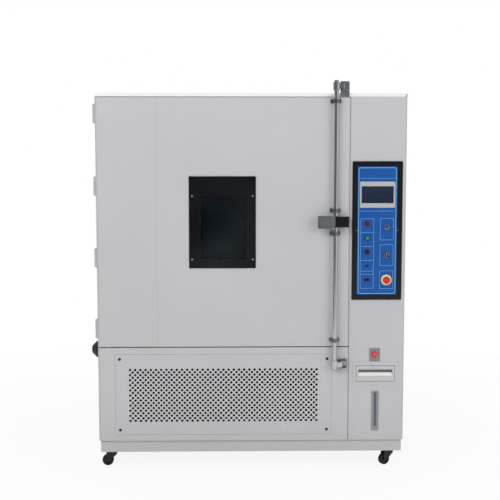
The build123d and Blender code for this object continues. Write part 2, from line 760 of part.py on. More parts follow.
def humidifier():
    x = COLUMN_X + HUMIDIFIER_SHIFT_X
    y = SEAM + HUMIDIFIER_FROM_SEAM
    vessel_z = (MACHINE_FOOT + HUMIDIFIER_STAND_T, MACHINE_FOOT + HUMIDIFIER_H)
    stand = block(span(x, 2 * HUMIDIFIER_R), span(y, 2 * HUMIDIFIER_R), (MACHINE_FOOT, vessel_z[0]))
    vessel = rod_z(HUMIDIFIER_R, x, y, vessel_z)
    vessel = fillet(vessel.edges().sort_by(Axis.Z)[-1], HUMIDIFIER_R / 3)
    outlet = rod_z(STEAM_PIPE_R, x, y, (vessel_z[1] - 1, vessel_z[1] + STEAM_PIPE_L))
    return stand + vessel + outlet


def water_tank():
    y = (SEAM + TANK_FROM_SEAM, SEAM + TANK_FROM_SEAM + TANK_D)
    z = (MACHINE_FOOT, MACHINE_FOOT + TANK_H)
    tank = block(span(COLUMN_X, TANK_W), y, z)
    tank = fillet(tank.edges().filter_by(Axis.Z), EDGE_R)
    neck_y = y[1] - 2 * TANK_NECK_R
    neck = rod_z(TANK_NECK_R, COLUMN_X, neck_y, (z[1] - 1, z[1] + TANK_NECK_R))
    pump_z = MACHINE_FOOT + PUMP_R + SHEET * 4
    pump = rod_y(PUMP_R, COLUMN_X, (y[1] + PUMP_GAP, y[1] + PUMP_GAP + PUMP_L), pump_z)
    foot_y = (y[1] + PUMP_GAP + SHEET, y[1] + PUMP_GAP + PUMP_L - SHEET)
    pump += block(span(COLUMN_X, 2 * PUMP_R), foot_y, (MACHINE_FOOT, pump_z - PUMP_R / 2))
    inlet = rod_y(PUMP_INLET_R, COLUMN_X, (y[1], y[1] + PUMP_GAP + 1), pump_z)
    return group(tank + neck, pump + inlet)


def compressor(x):
    y = SEAM + COMPRESSOR_FROM_SEAM
    foot = MACHINE_FOOT + COMPRESSOR_FOOT_T
    can = rod_z(COMPRESSOR_R, x, y, (foot, foot + COMPRESSOR_H))
    can = fillet(can.edges().sort_by(Axis.Z)[-1], COMPRESSOR_R / 2)
    feet = block(span(x, COMPRESSOR_BASE), span(y, COMPRESSOR_BASE), (MACHINE_FOOT, foot))
    feet = fillet(feet.edges().filter_by(Axis.Z), COMPRESSOR_BASE / 8)
    seam = rod_z(COMPRESSOR_R + 2 * SHEET, x, y, span(foot + COMPRESSOR_H * 0.4, 8 * SHEET))
    box_x = (x, x + COMPRESSOR_R + TERMINAL_BOX / 2)
    terminals = block(box_x, span(y, TERMINAL_BOX), span(foot + COMPRESSOR_H * 0.65, TERMINAL_BOX))
    return can + feet + seam + terminals


def compressors():
    return group(*[compressor(SPACE_X + shift) for shift in COMPRESSOR_SHIFTS])


def condenser():
    x = (LEFT + CONDENSER_FROM_LEFT, LEFT + CONDENSER_FROM_LEFT + CONDENSER_W)
    y = (FRONT + CONDENSER_FROM_FRONT, FRONT + CONDENSER_FROM_FRONT + CONDENSER_D)
    z = (MACHINE_FOOT, MACHINE_FOOT + CONDENSER_H)
    core = block(x, y, z)
    for row in range(CONDENSER_ROWS):
        groove_z = span(z[0] + CONDENSER_H * (row + 0.5) / CONDENSER_ROWS, FIN_GROOVE_H)
        core -= block((x[0] + EDGE_R, x[1] - EDGE_R), (y[0] - 1, y[0] + FIN_GROOVE_D), groove_z)
    return group(core, condenser_shroud(x, (y[1], y[1] + SHROUD_D), z))


def condenser_shroud(x, y, z):
    middle_x = (x[0] + x[1]) / 2
    middle_z = (z[0] + z[1]) / 2
    inner_x = (x[0] + SHROUD_T, x[1] - SHROUD_T)
    shroud = block(x, y, z) - block(inner_x, (y[0] - 1, y[1] - SHROUD_T), (z[0] + SHROUD_T, z[1] - SHROUD_T))
    shroud -= rod_y(CONDENSER_FAN_R + SHROUD_TIP_GAP, middle_x, (y[0], y[1] + 1), middle_z)
    spoke_y = (y[1] + SPOKE_T, y[1] + 2 * SPOKE_T)
    reach = CONDENSER_FAN_R + 2 * SHROUD_TIP_GAP
    spoke = block((FAN_CORE_R, reach), spoke_y, span(0, 2 * SPOKE_T))
    spoke += block((reach - SPOKE_T, reach), (y[1] - SHROUD_T, spoke_y[1]), span(0, 2 * SPOKE_T))
    for angle in (45, 135, 225, 315):
        shroud += Pos(middle_x, 0, middle_z) * Rot(0, angle, 0) * spoke
    shroud += rod_y(FAN_CORE_R + SPOKE_T, middle_x, (spoke_y[0], spoke_y[0] + FAN_MOTOR_L), middle_z)
    return shroud - rod_y(FAN_SHAFT_R + SHAFT_FIT, middle_x, (y[1], y[1] + FAN_SHAFT_L + 2), middle_z)


def condenser_fan():
    x = LEFT + CONDENSER_FROM_LEFT + CONDENSER_W / 2
    z = MACHINE_FOOT + CONDENSER_H / 2
    back = FRONT + CONDENSER_FROM_FRONT + CONDENSER_D + SHROUD_D
    blade_l = CONDENSER_FAN_R - FAN_CORE_R
    fan = rod_y(FAN_CORE_R, x, (back - FAN_CORE_L, back), z)
    blade = Plane.XZ * Pos(CONDENSER_FAN_R - blade_l / 2 - 3, 0) * Rectangle(blade_l, CONDENSER_BLADE_W)
    blade = extrude(blade, FAN_BLADE_T / 2, both=True)
    blade = fillet(blade.edges().filter_by(Axis.Y).sort_by(Axis.X)[-2:], CONDENSER_BLADE_W / 3)
    blade = Rot(CONDENSER_BLADE_PITCH, 0, 0) * blade
    for n in range(CONDENSER_BLADES):
        fan += Pos(x, back - FAN_CORE_L / 2, z) * Rot(0, 360 * n / CONDENSER_BLADES, 0) * blade
    return fan + rod_y(FAN_SHAFT_R, x, (back - 1, back + FAN_SHAFT_L), z)


def control_gear():
    face = PARTITION + SHEET
    plate = block((PARTITION, face), (SEAM, REAR - SHEET), (MACHINE_FOOT, COVER_FOOT))
    rail_face = face + DIN_RAIL_T
    gear_front = SEAM + GEAR_FROM_SEAM
    gear = []
    for row in range(GEAR_ROWS):
        rail_z = BODY_FOOT + GEAR_FROM_FOOT + GEAR_ROW_PITCH * row
        rail_y = (gear_front - EDGE_R, gear_front + GEAR_PITCH * GEAR_COUNT)
        gear.append(block((face, rail_face), rail_y, span(rail_z, DIN_RAIL_H)))
        for n in range(GEAR_COUNT):
            gear_y = (gear_front + GEAR_PITCH * n, gear_front + GEAR_PITCH * n + GEAR_W)
            piece = block((rail_face, rail_face + GEAR_D), gear_y, span(rail_z, GEAR_H))
            gear.append(fillet(piece.edges().filter_by(Axis.Y).sort_by(Axis.X)[-2:], 2 * SMALL_R))
    supply_z = BODY_FOOT + GEAR_FROM_FOOT - GEAR_ROW_PITCH * 0.8
    supply_y = (gear_front, gear_front + 2 * SUPPLY_H)
    return group(plate, *gear, block((face, face + GEAR_D), supply_y, span(supply_z, SUPPLY_H)))


# Door
def door_shell(inset):
    x = (LEFT + inset, DOOR_RIGHT - inset)
    y = (FRONT + inset, DOOR_BACK - SHEET)
    z = (DOOR_FOOT + inset, DOOR_TOP - inset)
    shell = block(x, y, z)
    return fillet(upright_edge(shell, x[0], y[0]), EDGE_R - inset)


def door_skin():
    skin = door_shell(0)
    right_edge = upright_edge(skin, DOOR_RIGHT, FRONT)
    skin = fillet(right_edge, SMALL_R)
    skin -= door_shell(SHEET)
    joint = LEFT + PANEL_JOINT_X
    skin -= block((joint, joint + 1.5), (FRONT - 1, FRONT + JOINT_GROOVE), (DOOR_FOOT - 1, DOOR_TOP + 1))
    return skin - window_hole((FRONT - 1, DOOR_BACK), SHEET)


def door_plug(inset):
    x = (SPACE_LEFT + PLUG_CLEARANCE + inset, SPACE_RIGHT - PLUG_CLEARANCE - inset)
    z = (SPACE_FOOT + PLUG_CLEARANCE + inset, SPACE_TOP - PLUG_CLEARANCE - inset)
    return block(x, (DOOR_BACK - SHEET, SEAM + PLUG_T - inset), z)


def door_core():
    y = (FRONT + SHEET, DOOR_BACK - SHEET)
    shell = door_shell(SHEET)
    hole_x = span(GLASS_X, GLASS_W + 2 * SHEET)
    hole_z = span(GLASS_Z, GLASS_H + 2 * SHEET)
    left = shell & block((LEFT, hole_x[0]), y, (DOOR_FOOT, DOOR_TOP))
    right = block((hole_x[1], DOOR_RIGHT - SHEET), y, (DOOR_FOOT + SHEET, DOOR_TOP - SHEET))
    under = block(hole_x, y, (DOOR_FOOT + SHEET, hole_z[0]))
    over = block(hole_x, y, (hole_z[1], DOOR_TOP - SHEET))
    plug = door_plug(SHEET)
    box = plug.bounding_box()
    plug_y = (y[1], box.max.Y)
    return group(
        left,
        right,
        under,
        over,
        block((box.min.X, hole_x[0]), plug_y, (box.min.Z, box.max.Z)),
        block((hole_x[1], box.max.X), plug_y, (box.min.Z, box.max.Z)),
        block(hole_x, plug_y, (box.min.Z, hole_z[0])),
        block(hole_x, plug_y, (hole_z[1], box.max.Z)),
    )


def door_inner_panel():
    plate = block((LEFT, DOOR_RIGHT), (DOOR_BACK - SHEET, DOOR_BACK), (DOOR_FOOT, DOOR_TOP))
    plate += door_plug(0)
    plate -= door_plug(SHEET)
    back = SEAM + PLUG_T
    plate -= window_hole((DOOR_BACK - SHEET - 1, back + 1))
    tunnel = window_hole((FRONT, back), SHEET) - window_hole((FRONT - 1, back + 1))
    return plate + tunnel


def gasket_block(margin):
    x = (SPACE_LEFT - margin, SPACE_RIGHT + margin)
    z = (SPACE_FOOT - margin, SPACE_TOP + margin)
    return block(x, (DOOR_BACK, SEAM), z)


def door_gasket():
    outer = fillet(gasket_block(GASKET_W + SMALL_R).edges().filter_by(Axis.Y), GASKET_W / 2)
    return outer - gasket_block(SMALL_R)


def window_plate():
    plate = block(
        span(WINDOW_X, WINDOW_PLATE_W), (FRONT - WINDOW_PLATE_T, FRONT), span(WINDOW_Z, WINDOW_PLATE_H)
    )
    plate = fillet(plate.edges().filter_by(Axis.Y), SMALL_R)
    return plate - window_hole((FRONT - WINDOW_PLATE_T - 1, FRONT + 1))


def window_glass():
    first = FRONT + SMALL_R
    pitch = (SEAM + PLUG_T - SMALL_R - PANE_T - first) / (PANE_COUNT - 1)
    return group(*[window_hole((first + pitch * n, first + pitch * n + PANE_T)) for n in range(PANE_COUNT)])


# Hinges
def hinge_heights():
    return [DOOR_FOOT + HINGE_FROM_DOOR_FOOT + HINGE_PITCH * n for n in range(HINGE_COUNT)]


def hinge_leaf(z, side):
    leaf_y = sorted((HINGE_Y + side * (KNUCKLE_R - HINGE_LEAF_T), HINGE_Y + side * HINGE_LEAF_W))
    leaf = block((LEFT - HINGE_LEAF_T, LEFT), leaf_y, span(z, HINGE_H))
    far_y = HINGE_Y + side * HINGE_LEAF_W
    far = [e for e in leaf.edges().filter_by(Axis.X) if abs(e.center().Y - far_y) < 1]
    return fillet(far, HINGE_LEAF_R)


def hinge_knuckle(z, side):
    knuckle = rod_z(KNUCKLE_R, HINGE_X, HINGE_Y, z)
    web_y = sorted((HINGE_Y, HINGE_Y + side * KNUCKLE_R))
    return knuckle + block((HINGE_X, LEFT), web_y, z)


def knuckle_length():
    return (HINGE_H - 2 * KNUCKLE_GAP) / 3


def door_hinge_leaves():
    made = []
    for z in hinge_heights():
        leaf = hinge_leaf(z, -1) + hinge_knuckle(span(z, knuckle_length()), -1)
        made.append(leaf - rod_z(HINGE_PIN_R + HINGE_FIT, HINGE_X, HINGE_Y, span(z, HINGE_H + 2)))
    return group(*made)


def cabinet_hinge_leaves():
    made = []
    for z in hinge_heights():
        leaf = hinge_leaf(z, 1)
        for side in (-1, 1):
            middle = z + side * (knuckle_length() + KNUCKLE_GAP)
            leaf += hinge_knuckle(span(middle, knuckle_length()), 1)
        pin_z = span(z, HINGE_H + 2 * HINGE_PIN_PROUD)
        made.append(leaf + rod_z(HINGE_PIN_R, HINGE_X, HINGE_Y, pin_z))
    return group(*made)


# Lock
def cam(z, nose_z):
    collar = rod_z(CAM_R, ROD_X, ROD_Y, z)
    collar = chamfer(collar.edges().filter_by(GeomType.CIRCLE), CAM_CHAMFER)
    nose = block((ROD_X, ROD_X + CAM_NOSE), span(ROD_Y, CAM_NOSE_T), span(nose_z, CAM_NOSE_H))
    nose = fillet(nose.edges().filter_by(Axis.Z).sort_by(Axis.X)[-2:], CAM_NOSE_T * 0.4)
    return collar + nose


def top_cam_z():
    return (ROD_TOP - ROD_NUB_H - CAM_H, ROD_TOP - ROD_NUB_H)


def foot_cam_z():
    return (ROD_FOOT, ROD_FOOT + CAM_H)


def cam_middle(z):
    return (z[0] + z[1]) / 2


def lock_rod():
    rod = rod_z(ROD_R, ROD_X, ROD_Y, (ROD_FOOT, ROD_TOP))
    for z in (top_cam_z(), foot_cam_z()):
        rod += cam(z, cam_middle(z))
    rod -= rod_z(ROD_BORE_R, ROD_X, ROD_Y, (ROD_FOOT - 1, ROD_TOP - SMALL_R))
    return chamfer(rod.edges().filter_by(GeomType.CIRCLE).sort_by(Axis.Z)[-1], CAM_CHAMFER)


def keeper(z):
    middle = cam_middle(z)
    x = (ROD_X + KEEPER_FROM_ROD, ROD_X + KEEPER_FROM_ROD + KEEPER_W)
    plate = block(x, (FRONT - KEEPER_T, FRONT), span(middle, KEEPER_H))
    made = fillet(plate.edges().filter_by(Axis.Y), KEEPER_R)
    gap = CAM_NOSE_H / 2 + KEEPER_SLACK
    for side in (-1, 1):
        cheek_z = sorted((middle + side * gap, middle + side * (gap + KEEPER_CHEEK_T)))
        cheek_y = (FRONT - KEEPER_T - KEEPER_CHEEK_D, FRONT - KEEPER_T)
        cheek = block((x[0] + KEEPER_R, x[1] - KEEPER_R), cheek_y, cheek_z)
        front = cheek.edges().filter_by(Axis.Z).sort_by(Axis.Y)[:2]
        made += fillet(front, 2 * KEEPER_R)
    post_y = FRONT - KEEPER_T - KEEPER_POST_R - 1
    post_x = ROD_X + CAM_NOSE - KEEPER_POST_FROM_TIP
    return made + rod_z(KEEPER_POST_R, post_x, post_y, span(middle, 2 * gap + 2))


def lock_keepers():
    top = keeper(top_cam_z())
    x = (ROD_X + KEEPER_FROM_ROD, ROD_X + KEEPER_FROM_ROD + KEEPER_W)
    riser = block(x, (FRONT - KEEPER_T, FRONT), (COVER_FOOT + 1, cam_middle(top_cam_z())))
    foot = block(x, (FRONT - KEEPER_T, FRONT + KEEPER_FOOT), (TOP, TOP + KEEPER_T))
    return group(top + riser + foot, keeper(foot_cam_z()))


def rod_guides():
    made = []
    for foot in GUIDE_FEET:
        z = (foot, foot + GUIDE_H)
        wings = block(span(ROD_X, GUIDE_W), (FRONT - GUIDE_T, FRONT), z)
        wings = fillet(wings.edges().filter_by(Axis.Y), GUIDE_SCREW_R)
        arch_r = ROD_R + GUIDE_CLEARANCE + GUIDE_WALL
        saddle = rod_z(arch_r, ROD_X, ROD_Y, z) + block(span(ROD_X, 2 * arch_r), (ROD_Y, FRONT), z)
        bore = rod_z(ROD_R + GUIDE_CLEARANCE, ROD_X, ROD_Y, (z[0] - 1, z[1] + 1))
        screw_y = (FRONT - GUIDE_T - GUIDE_SCREW_T, FRONT - GUIDE_T)
        for screw_x in span(ROD_X, GUIDE_SCREW_PITCH):
            wings += rod_y(GUIDE_SCREW_R, screw_x, screw_y, cam_middle(z))
        made.append(wings + saddle - bore)
    return group(*made)


def lock_lever():
    x = (LEVER_X - LEVER_L, LEVER_X + LEVER_END)
    face = LEVER_Y - LEVER_FACE_OUT
    z = span(LEVER_Z, LEVER_H)
    outer = block(x, (face, face + LEVER_DEPTH), z)
    outer = fillet(outer.edges().filter_by(Axis.Z).sort_by(Axis.X)[:1], LEVER_T / 2)
    outer = fillet(outer.edges().filter_by(Axis.Y).sort_by(Axis.X)[:2], SMALL_R)
    inner_z = (z[0] + LEVER_T, z[1] - LEVER_T)
    lever = outer - block((x[0] + LEVER_T, x[1] + 1), (face + LEVER_T, face + LEVER_DEPTH + 1), inner_z)
    lip_x = (x[0] + LEVER_T, x[1] - LEVER_LIP_SHORT)
    lip = block(lip_x, (face - LEVER_LIP, face + 1), (z[0], z[0] + LEVER_T))
    lever += fillet(lip.edges().filter_by(Axis.Z).sort_by(Axis.Y)[:2], LEVER_LIP / 2)
    return lever - rod_z(LEVER_PIN_R + HINGE_FIT, LEVER_X, LEVER_Y, span(LEVER_Z, LEVER_H + 2))


def lock_case():
    x = (LEVER_X + CASE_GAP, LEVER_X + CASE_GAP + CASE_W)
    z = span(LEVER_Z, CASE_H)
    case = block(x, (FRONT - CASE_OUT, FRONT), z)
    case = fillet(case.edges().group_by(Axis.Y)[0], CASE_R)
    rod_room = ROD_R + GUIDE_CLEARANCE
    channel = rod_z(rod_room, ROD_X, ROD_Y, (z[0] - 1, z[1] + 1))
    channel += block((x[0] - 1, ROD_X), span(ROD_Y, 2 * rod_room), (z[0] - 1, z[1] + 1))
    case -= channel
    for side in (-1, 1):
        case += case_ear(side, x[0] + CASE_R + SHEET)
    return case + rod_z(LEVER_PIN_R, LEVER_X, LEVER_Y, span(LEVER_Z, LEVER_H))


# Each ear reaches round behind the pin, so that the lever's front wall can swing past it.
def case_ear(side, end_x):
    outer = LEVER_H / 2 - LEVER_T - CASE_EAR_GAP
    z = sorted((LEVER_Z + side * outer, LEVER_Z + side * (outer - CASE_EAR_T)))
    arm_y = (LEVER_Y + CASE_ARM_BEHIND_PIN, LEVER_Y + CASE_ARM_BEHIND_PIN + CASE_ARM_D)
    ear = rod_z(CASE_EAR_R, LEVER_X, LEVER_Y, z)
    ear += block(span(LEVER_X, 2 * CASE_EAR_R), (LEVER_Y, arm_y[1]), z)
    return ear + block((LEVER_X, end_x), arm_y, z)


# Lower front and control column
def lower_front_panel():
    x = (LEFT, DOOR_RIGHT)
    y = (FRONT, SEAM)
    z = (BODY_FOOT, LOWER_TOP)
    outer = fillet(upright_edge(block(x, y, z), LEFT, FRONT), EDGE_R)
    inner = block((x[0] + SHEET, x[1] - SHEET), (y[0] + SHEET, y[1] + 1), (z[0] - 1, z[1] - SHEET))
    inner = fillet(upright_edge(inner, x[0] + SHEET, y[0] + SHEET), EDGE_R - SHEET)
    panel = outer - inner
    recess_w = GRILLE_W + 2 * GRILLE_GAP
    recess_h = GRILLE_H + 2 * GRILLE_GAP
    panel -= block(span(SPACE_X, recess_w), (y[0] - 1, y[0] + SHEET), span(GRILLE_Z, recess_h))
    ledge_y = (y[0] + SHEET, y[0] + 2 * SHEET)
    panel += block(span(SPACE_X, recess_w + GRILLE_LEDGE), ledge_y, span(GRILLE_Z, recess_h + GRILLE_LEDGE))
    window = (GRILLE_W - 2 * GRILLE_LEDGE, GRILLE_H - 2 * GRILLE_LEDGE)
    return panel - block(span(SPACE_X, window[0]), (y[0] - 1, y[0] + 3 * SHEET), span(GRILLE_Z, window[1]))


def grille_panel():
    panel = block(span(SPACE_X, GRILLE_W), (FRONT, FRONT + SHEET), span(GRILLE_Z, GRILLE_H))
    return fillet(panel.edges().filter_by(Axis.Y), GRILLE_R)


def column_panel():
    x = (COLUMN_LEFT, RIGHT)
    z = (BODY_FOOT, COVER_FOOT)
    outer = fillet(upright_edge(block(x, (FRONT, SEAM), z), RIGHT, FRONT), EDGE_R)
    inner = block((x[0] + SHEET, x[1] - SHEET), (FRONT + SHEET, SEAM + 1), (z[0] - 1, z[1] + 1))
    inner = fillet(upright_edge(inner, x[1] - SHEET, FRONT + SHEET), EDGE_R - SHEET)
    panel = outer - inner
    through = (FRONT - 1, FRONT + SHEET + 1)
    room = 2 * (PANEL_RIM + CUTOUT_RIM)
    panel -= block(span(COLUMN_X, PANEL_W - room), through, span(PANEL_Z, PANEL_H - room))
    opening = (DRAWER_W + 2 * DRAWER_GAP, DRAWER_H + 2 * DRAWER_GAP)
    panel -= block(span(COLUMN_X, opening[0]), through, span(DRAWER_Z, opening[1]))
    panel -= rod_y(OVERTEMP_HOLE_R, OVERTEMP_X, through, OVERTEMP_Z)
    return group(panel, *drawer_surround())


def drawer_surround():
    y = (FRONT - TRIM_T, FRONT)
    ring = block(span(COLUMN_X, DRAWER_FRAME_W), y, span(DRAWER_Z, DRAWER_FRAME_H))
    ring = fillet(ring.edges().filter_by(Axis.Y), 2)
    opening = (DRAWER_W + 2 * DRAWER_GAP, DRAWER_H + 2 * DRAWER_GAP)
    ring -= block(span(COLUMN_X, opening[0]), (y[0] - 1, y[1] + 1), span(DRAWER_Z, opening[1]))
    pieces = [ring]
    tray_foot = DRAWER_Z - DRAWER_H / 2
    for side in (-1, 1):
        wall = COLUMN_X + side * (DRAWER_W / 2 + RUNNER_GAP)
        x = sorted((wall, wall + side * RUNNER_T))
        under = sorted((wall - side * RUNNER_LEDGE, wall + side * RUNNER_T))
        y_run = (FRONT + SHEET, FRONT + SHEET + DRAWER_DEPTH)
        runner = block(x, y_run, (tray_foot - RUNNER_T, tray_foot + RUNNER_H))
        runner += block(under, y_run, (tray_foot - RUNNER_T - RUNNER_GAP, tray_foot - RUNNER_GAP))
        pieces.append(runner)
    return pieces


def water_drawer():
    x = span(COLUMN_X, DRAWER_W)
    z = span(DRAWER_Z, DRAWER_H)
    y = (FRONT - TRIM_T, FRONT + DRAWER_DEPTH)
    drawer = block(x, y, z)
    drawer = fillet(drawer.edges().group_by(Axis.Y)[0], TRIM_T / 2)
    tray_x = (x[0] + DRAWER_WALL, x[1] - DRAWER_WALL)
    drawer -= block(tray_x, (y[0] + DRAWER_FRONT_T, y[1] - DRAWER_WALL), (z[0] + DRAWER_WALL, z[1] + 1))
    scoop_x = (x[0] + SCOOP_FROM_SIDE, x[1] - SCOOP_FROM_SIDE)
    return drawer - rod_x(SCOOP_R, scoop_x, y[0], z[1] - SCOOP_FROM_TOP)


def level_gauge():
    y = (FRONT - TRIM_T, FRONT)
    plate = block(span(COLUMN_X, GAUGE_W), y, span(GAUGE_Z, GAUGE_H))
    plate = fillet(plate.edges().filter_by(Axis.Y), SMALL_R)
    slot_z = span(GAUGE_Z + GAUGE_SLOT_SHIFT, GAUGE_SLOT_H)
    plate -= block(span(COLUMN_X, GAUGE_SLOT_W), (y[0] - 1, y[1] + 1), slot_z)
    tube = block(span(COLUMN_X, GAUGE_SLOT_W), (y[0] + 1, y[1]), slot_z)
    return group(plate, tube)


def panel_frame():
    y = (PANEL_FACE, FRONT)
    frame = block(span(COLUMN_X, PANEL_W), y, span(PANEL_Z, PANEL_H))
    frame = fillet(frame.edges().filter_by(Axis.Y), PANEL_R)
    frame = chamfer(frame.edges().group_by(Axis.Y)[0], PANEL_CHAMFER)
    inner = (PANEL_W - 2 * PANEL_RIM, PANEL_H - 2 * PANEL_RIM)
    return frame - block(span(COLUMN_X, inner[0]), (y[0] - 1, y[1] + 1), span(PANEL_Z, inner[1]))


def control_fascia():
    inner = (PANEL_W - 2 * PANEL_RIM, PANEL_H - 2 * PANEL_RIM)
    plate = block(span(COLUMN_X, inner[0]), (FASCIA_FACE, FRONT), span(PANEL_Z, inner[1]))
    through = (FASCIA_FACE - 1, FRONT + 1)
    hole_r = CAP_R + DEVICE_CLEARANCE
    plate -= [rod_y(hole_r, DEVICE_LEFT, through, z) for z in DEVICE_Z[:3]]
    plate -= [rod_y(hole_r, DEVICE_RIGHT, through, z) for z in (KEY_Z, SELECTOR_Z)]
    plate -= rod_y(ESTOP_STEM_R + DEVICE_CLEARANCE, DEVICE_RIGHT, through, ESTOP_Z)
    for frame, z in ((PORT_FRAME, DEVICE_Z[3]), (SOCKET_FRAME, DEVICE_Z[4])):
        plate -= block(span(DEVICE_LEFT, frame[0]), through, span(z, frame[1]))
    screen_hole = (SCREEN_W - 2 * SCREEN_BODY_INSET, SCREEN_H - 2 * SCREEN_BODY_INSET)
    return plate - block(span(COLUMN_X, screen_hole[0]), through, span(SCREEN_Z, screen_hole[1]))


def touchscreen():
    face = FASCIA_FACE - SCREEN_T
    bezel = block(span(COLUMN_X, SCREEN_W), (face, FASCIA_FACE), span(SCREEN_Z, SCREEN_H))
    bezel = fillet(bezel.edges().filter_by(Axis.Y), PANEL_R)
    bezel = chamfer(bezel.edges().group_by(Axis.Y)[0], DEVICE_EDGE)
    bezel -= block(span(COLUMN_X, SCREEN_GLASS_W), (face - 1, face + 1), span(SCREEN_Z, SCREEN_GLASS_H))
    body_w = SCREEN_W - 2 * (SCREEN_BODY_INSET + DEVICE_CLEARANCE)
    body_h = SCREEN_H - 2 * (SCREEN_BODY_INSET + DEVICE_CLEARANCE)
    body_y = (FASCIA_FACE - 1, FASCIA_FACE + SCREEN_BODY_D)
    return bezel + block(span(COLUMN_X, body_w), body_y, span(SCREEN_Z, body_h))


def bezel(x, z):
    face = FASCIA_FACE - BEZEL_T
    ring = rod_y(BEZEL_R, x, (face, FASCIA_FACE), z)
    ring = fillet(ring.edges().filter_by(GeomType.CIRCLE).sort_by(Axis.Y)[0], DEVICE_EDGE)
    return ring - rod_y(CAP_R + DEVICE_CLEARANCE, x, (face - 1, FASCIA_FACE + 1), z)


def socket(frame, hole, z):
    y = (FASCIA_FACE - SOCKET_PROUD, FRONT)
    body = block(span(DEVICE_LEFT, frame[0]), y, span(z, frame[1]))
    return body - block(span(DEVICE_LEFT, hole[0]), (y[0] - 1, FASCIA_FACE + 1), span(z, hole[1]))


def fascia_fittings():
    pieces = [bezel(DEVICE_LEFT, z) for z in DEVICE_Z[1:3]]
    pieces += [bezel(DEVICE_RIGHT, z) for z in (KEY_Z, SELECTOR_Z)]
    lamp = rod_y(CAP_R + DEVICE_CLEARANCE, DEVICE_LEFT, (FASCIA_FACE - LAMP_PROUD, FRONT), DEVICE_Z[0])
    lamp = fillet(lamp.edges().sort_by(Axis.Y)[0], 2 * DEVICE_EDGE)
    pieces.append(bezel(DEVICE_LEFT, DEVICE_Z[0]) + lamp)
    pieces.append(socket(PORT_FRAME, PORT_HOLE, DEVICE_Z[3]))
    pieces.append(socket(SOCKET_FRAME, SOCKET_HOLE, DEVICE_Z[4]))
    return group(*pieces, estop_collar())


def estop_collar():
    face = FASCIA_FACE - ESTOP_COLLAR_T
    collar = rod_y(ESTOP_COLLAR_R, DEVICE_RIGHT, (face, FASCIA_FACE), ESTOP_Z)
    collar = fillet(collar.edges().sort_by(Axis.Y)[0], 2 * DEVICE_EDGE)
    return collar - rod_y(ESTOP_STEM_R + DEVICE_CLEARANCE, DEVICE_RIGHT, (face - 1, FRONT), ESTOP_Z)


def estop_head():
    back = FASCIA_FACE - ESTOP_COLLAR_T - ESTOP_TRAVEL - 1
    head = rod_y(ESTOP_HEAD_R, DEVICE_RIGHT, (back - ESTOP_HEAD_T, back), ESTOP_Z)
    head = fillet(head.edges().sort_by(Axis.Y)[0], ESTOP_HEAD_T / 2)
    return head + rod_y(ESTOP_STEM_R, DEVICE_RIGHT, (back - 1, FRONT + BARREL_BEHIND), ESTOP_Z)


def push_button(z):
    face = FASCIA_FACE - BEZEL_T - BUTTON_TRAVEL - CAP_PROUD
    cap = rod_y(CAP_R, DEVICE_LEFT, (face, FRONT + BARREL_BEHIND), z)
    return fillet(cap.edges().sort_by(Axis.Y)[0], DEVICE_EDGE)


def switch_barrel(z):
    face = FASCIA_FACE - BEZEL_T - SHEET
    barrel = rod_y(CAP_R, DEVICE_RIGHT, (face, FRONT + BARREL_BEHIND), z)
    return fillet(barrel.edges().sort_by(Axis.Y)[0], DEVICE_EDGE / 2)


def key_switch():
    face = FASCIA_FACE - BEZEL_T
    blade = block(span(0, KEY_T), (face - KEY_L, face), span(0, KEY_BLADE_W))
    bow = Plane.YZ * Pos(face - KEY_L, 0) * RectangleRounded(KEY_BOW, KEY_BOW, KEY_BOW / 3)
    key = blade + extrude(bow, KEY_T / 2, both=True)
    return switch_barrel(KEY_Z) + Pos(DEVICE_RIGHT, 0, KEY_Z) * Rot(0, REST_TURN, 0) * key


def rotary_switch():
    handle = extrude(Plane.XZ * SlotOverall(ROTARY_L, ROTARY_W), ROTARY_OUT, both=True)
    handle = Pos(DEVICE_RIGHT, FASCIA_FACE - BEZEL_T - ROTARY_OUT, SELECTOR_Z) * Rot(0, REST_TURN, 0) * handle
    return switch_barrel(SELECTOR_Z) + handle


def overtemp_plate():
    y = (FRONT - TRIM_T, FRONT)
    plate = block(span(OVERTEMP_X, OVERTEMP_W), y, span(OVERTEMP_Z, OVERTEMP_H))
    plate = fillet(plate.edges().filter_by(Axis.Y), SMALL_R)
    hole_r = OVERTEMP_SHAFT_R + DEVICE_CLEARANCE
    return plate - rod_y(hole_r, OVERTEMP_X, (y[0] - 1, y[1] + 1), OVERTEMP_Z)


def overtemp_dial():
    face = FRONT - TRIM_T - DEVICE_CLEARANCE
    disc_face = face - OVERTEMP_DIAL_T / 3
    dial = rod_y(OVERTEMP_DIAL_R, OVERTEMP_X, (disc_face, face), OVERTEMP_Z)
    grip = rod_y(OVERTEMP_DIAL_R * 2 / 3, OVERTEMP_X, (face - OVERTEMP_DIAL_T, disc_face), OVERTEMP_Z)
    grip = fillet(grip.edges().sort_by(Axis.Y)[0], SHEET)
    return dial + grip + rod_y(OVERTEMP_SHAFT_R, OVERTEMP_X, (face - 1, FRONT + BARREL_BEHIND), OVERTEMP_Z)


# Service port
def service_port_collar():
    x0 = LEFT - PORT_FLANGE_T
    tube = rod_x(PORT_TUBE_R, (x0, LEFT + PORT_TUBE_L), PORT_Y, PORT_Z)
    tube += rod_x(PORT_FLANGE_R, (x0, LEFT), PORT_Y, PORT_Z)
    return tube - rod_x(PORT_BORE_R, (x0 - 1, LEFT + PORT_TUBE_L + 1), PORT_Y, PORT_Z)


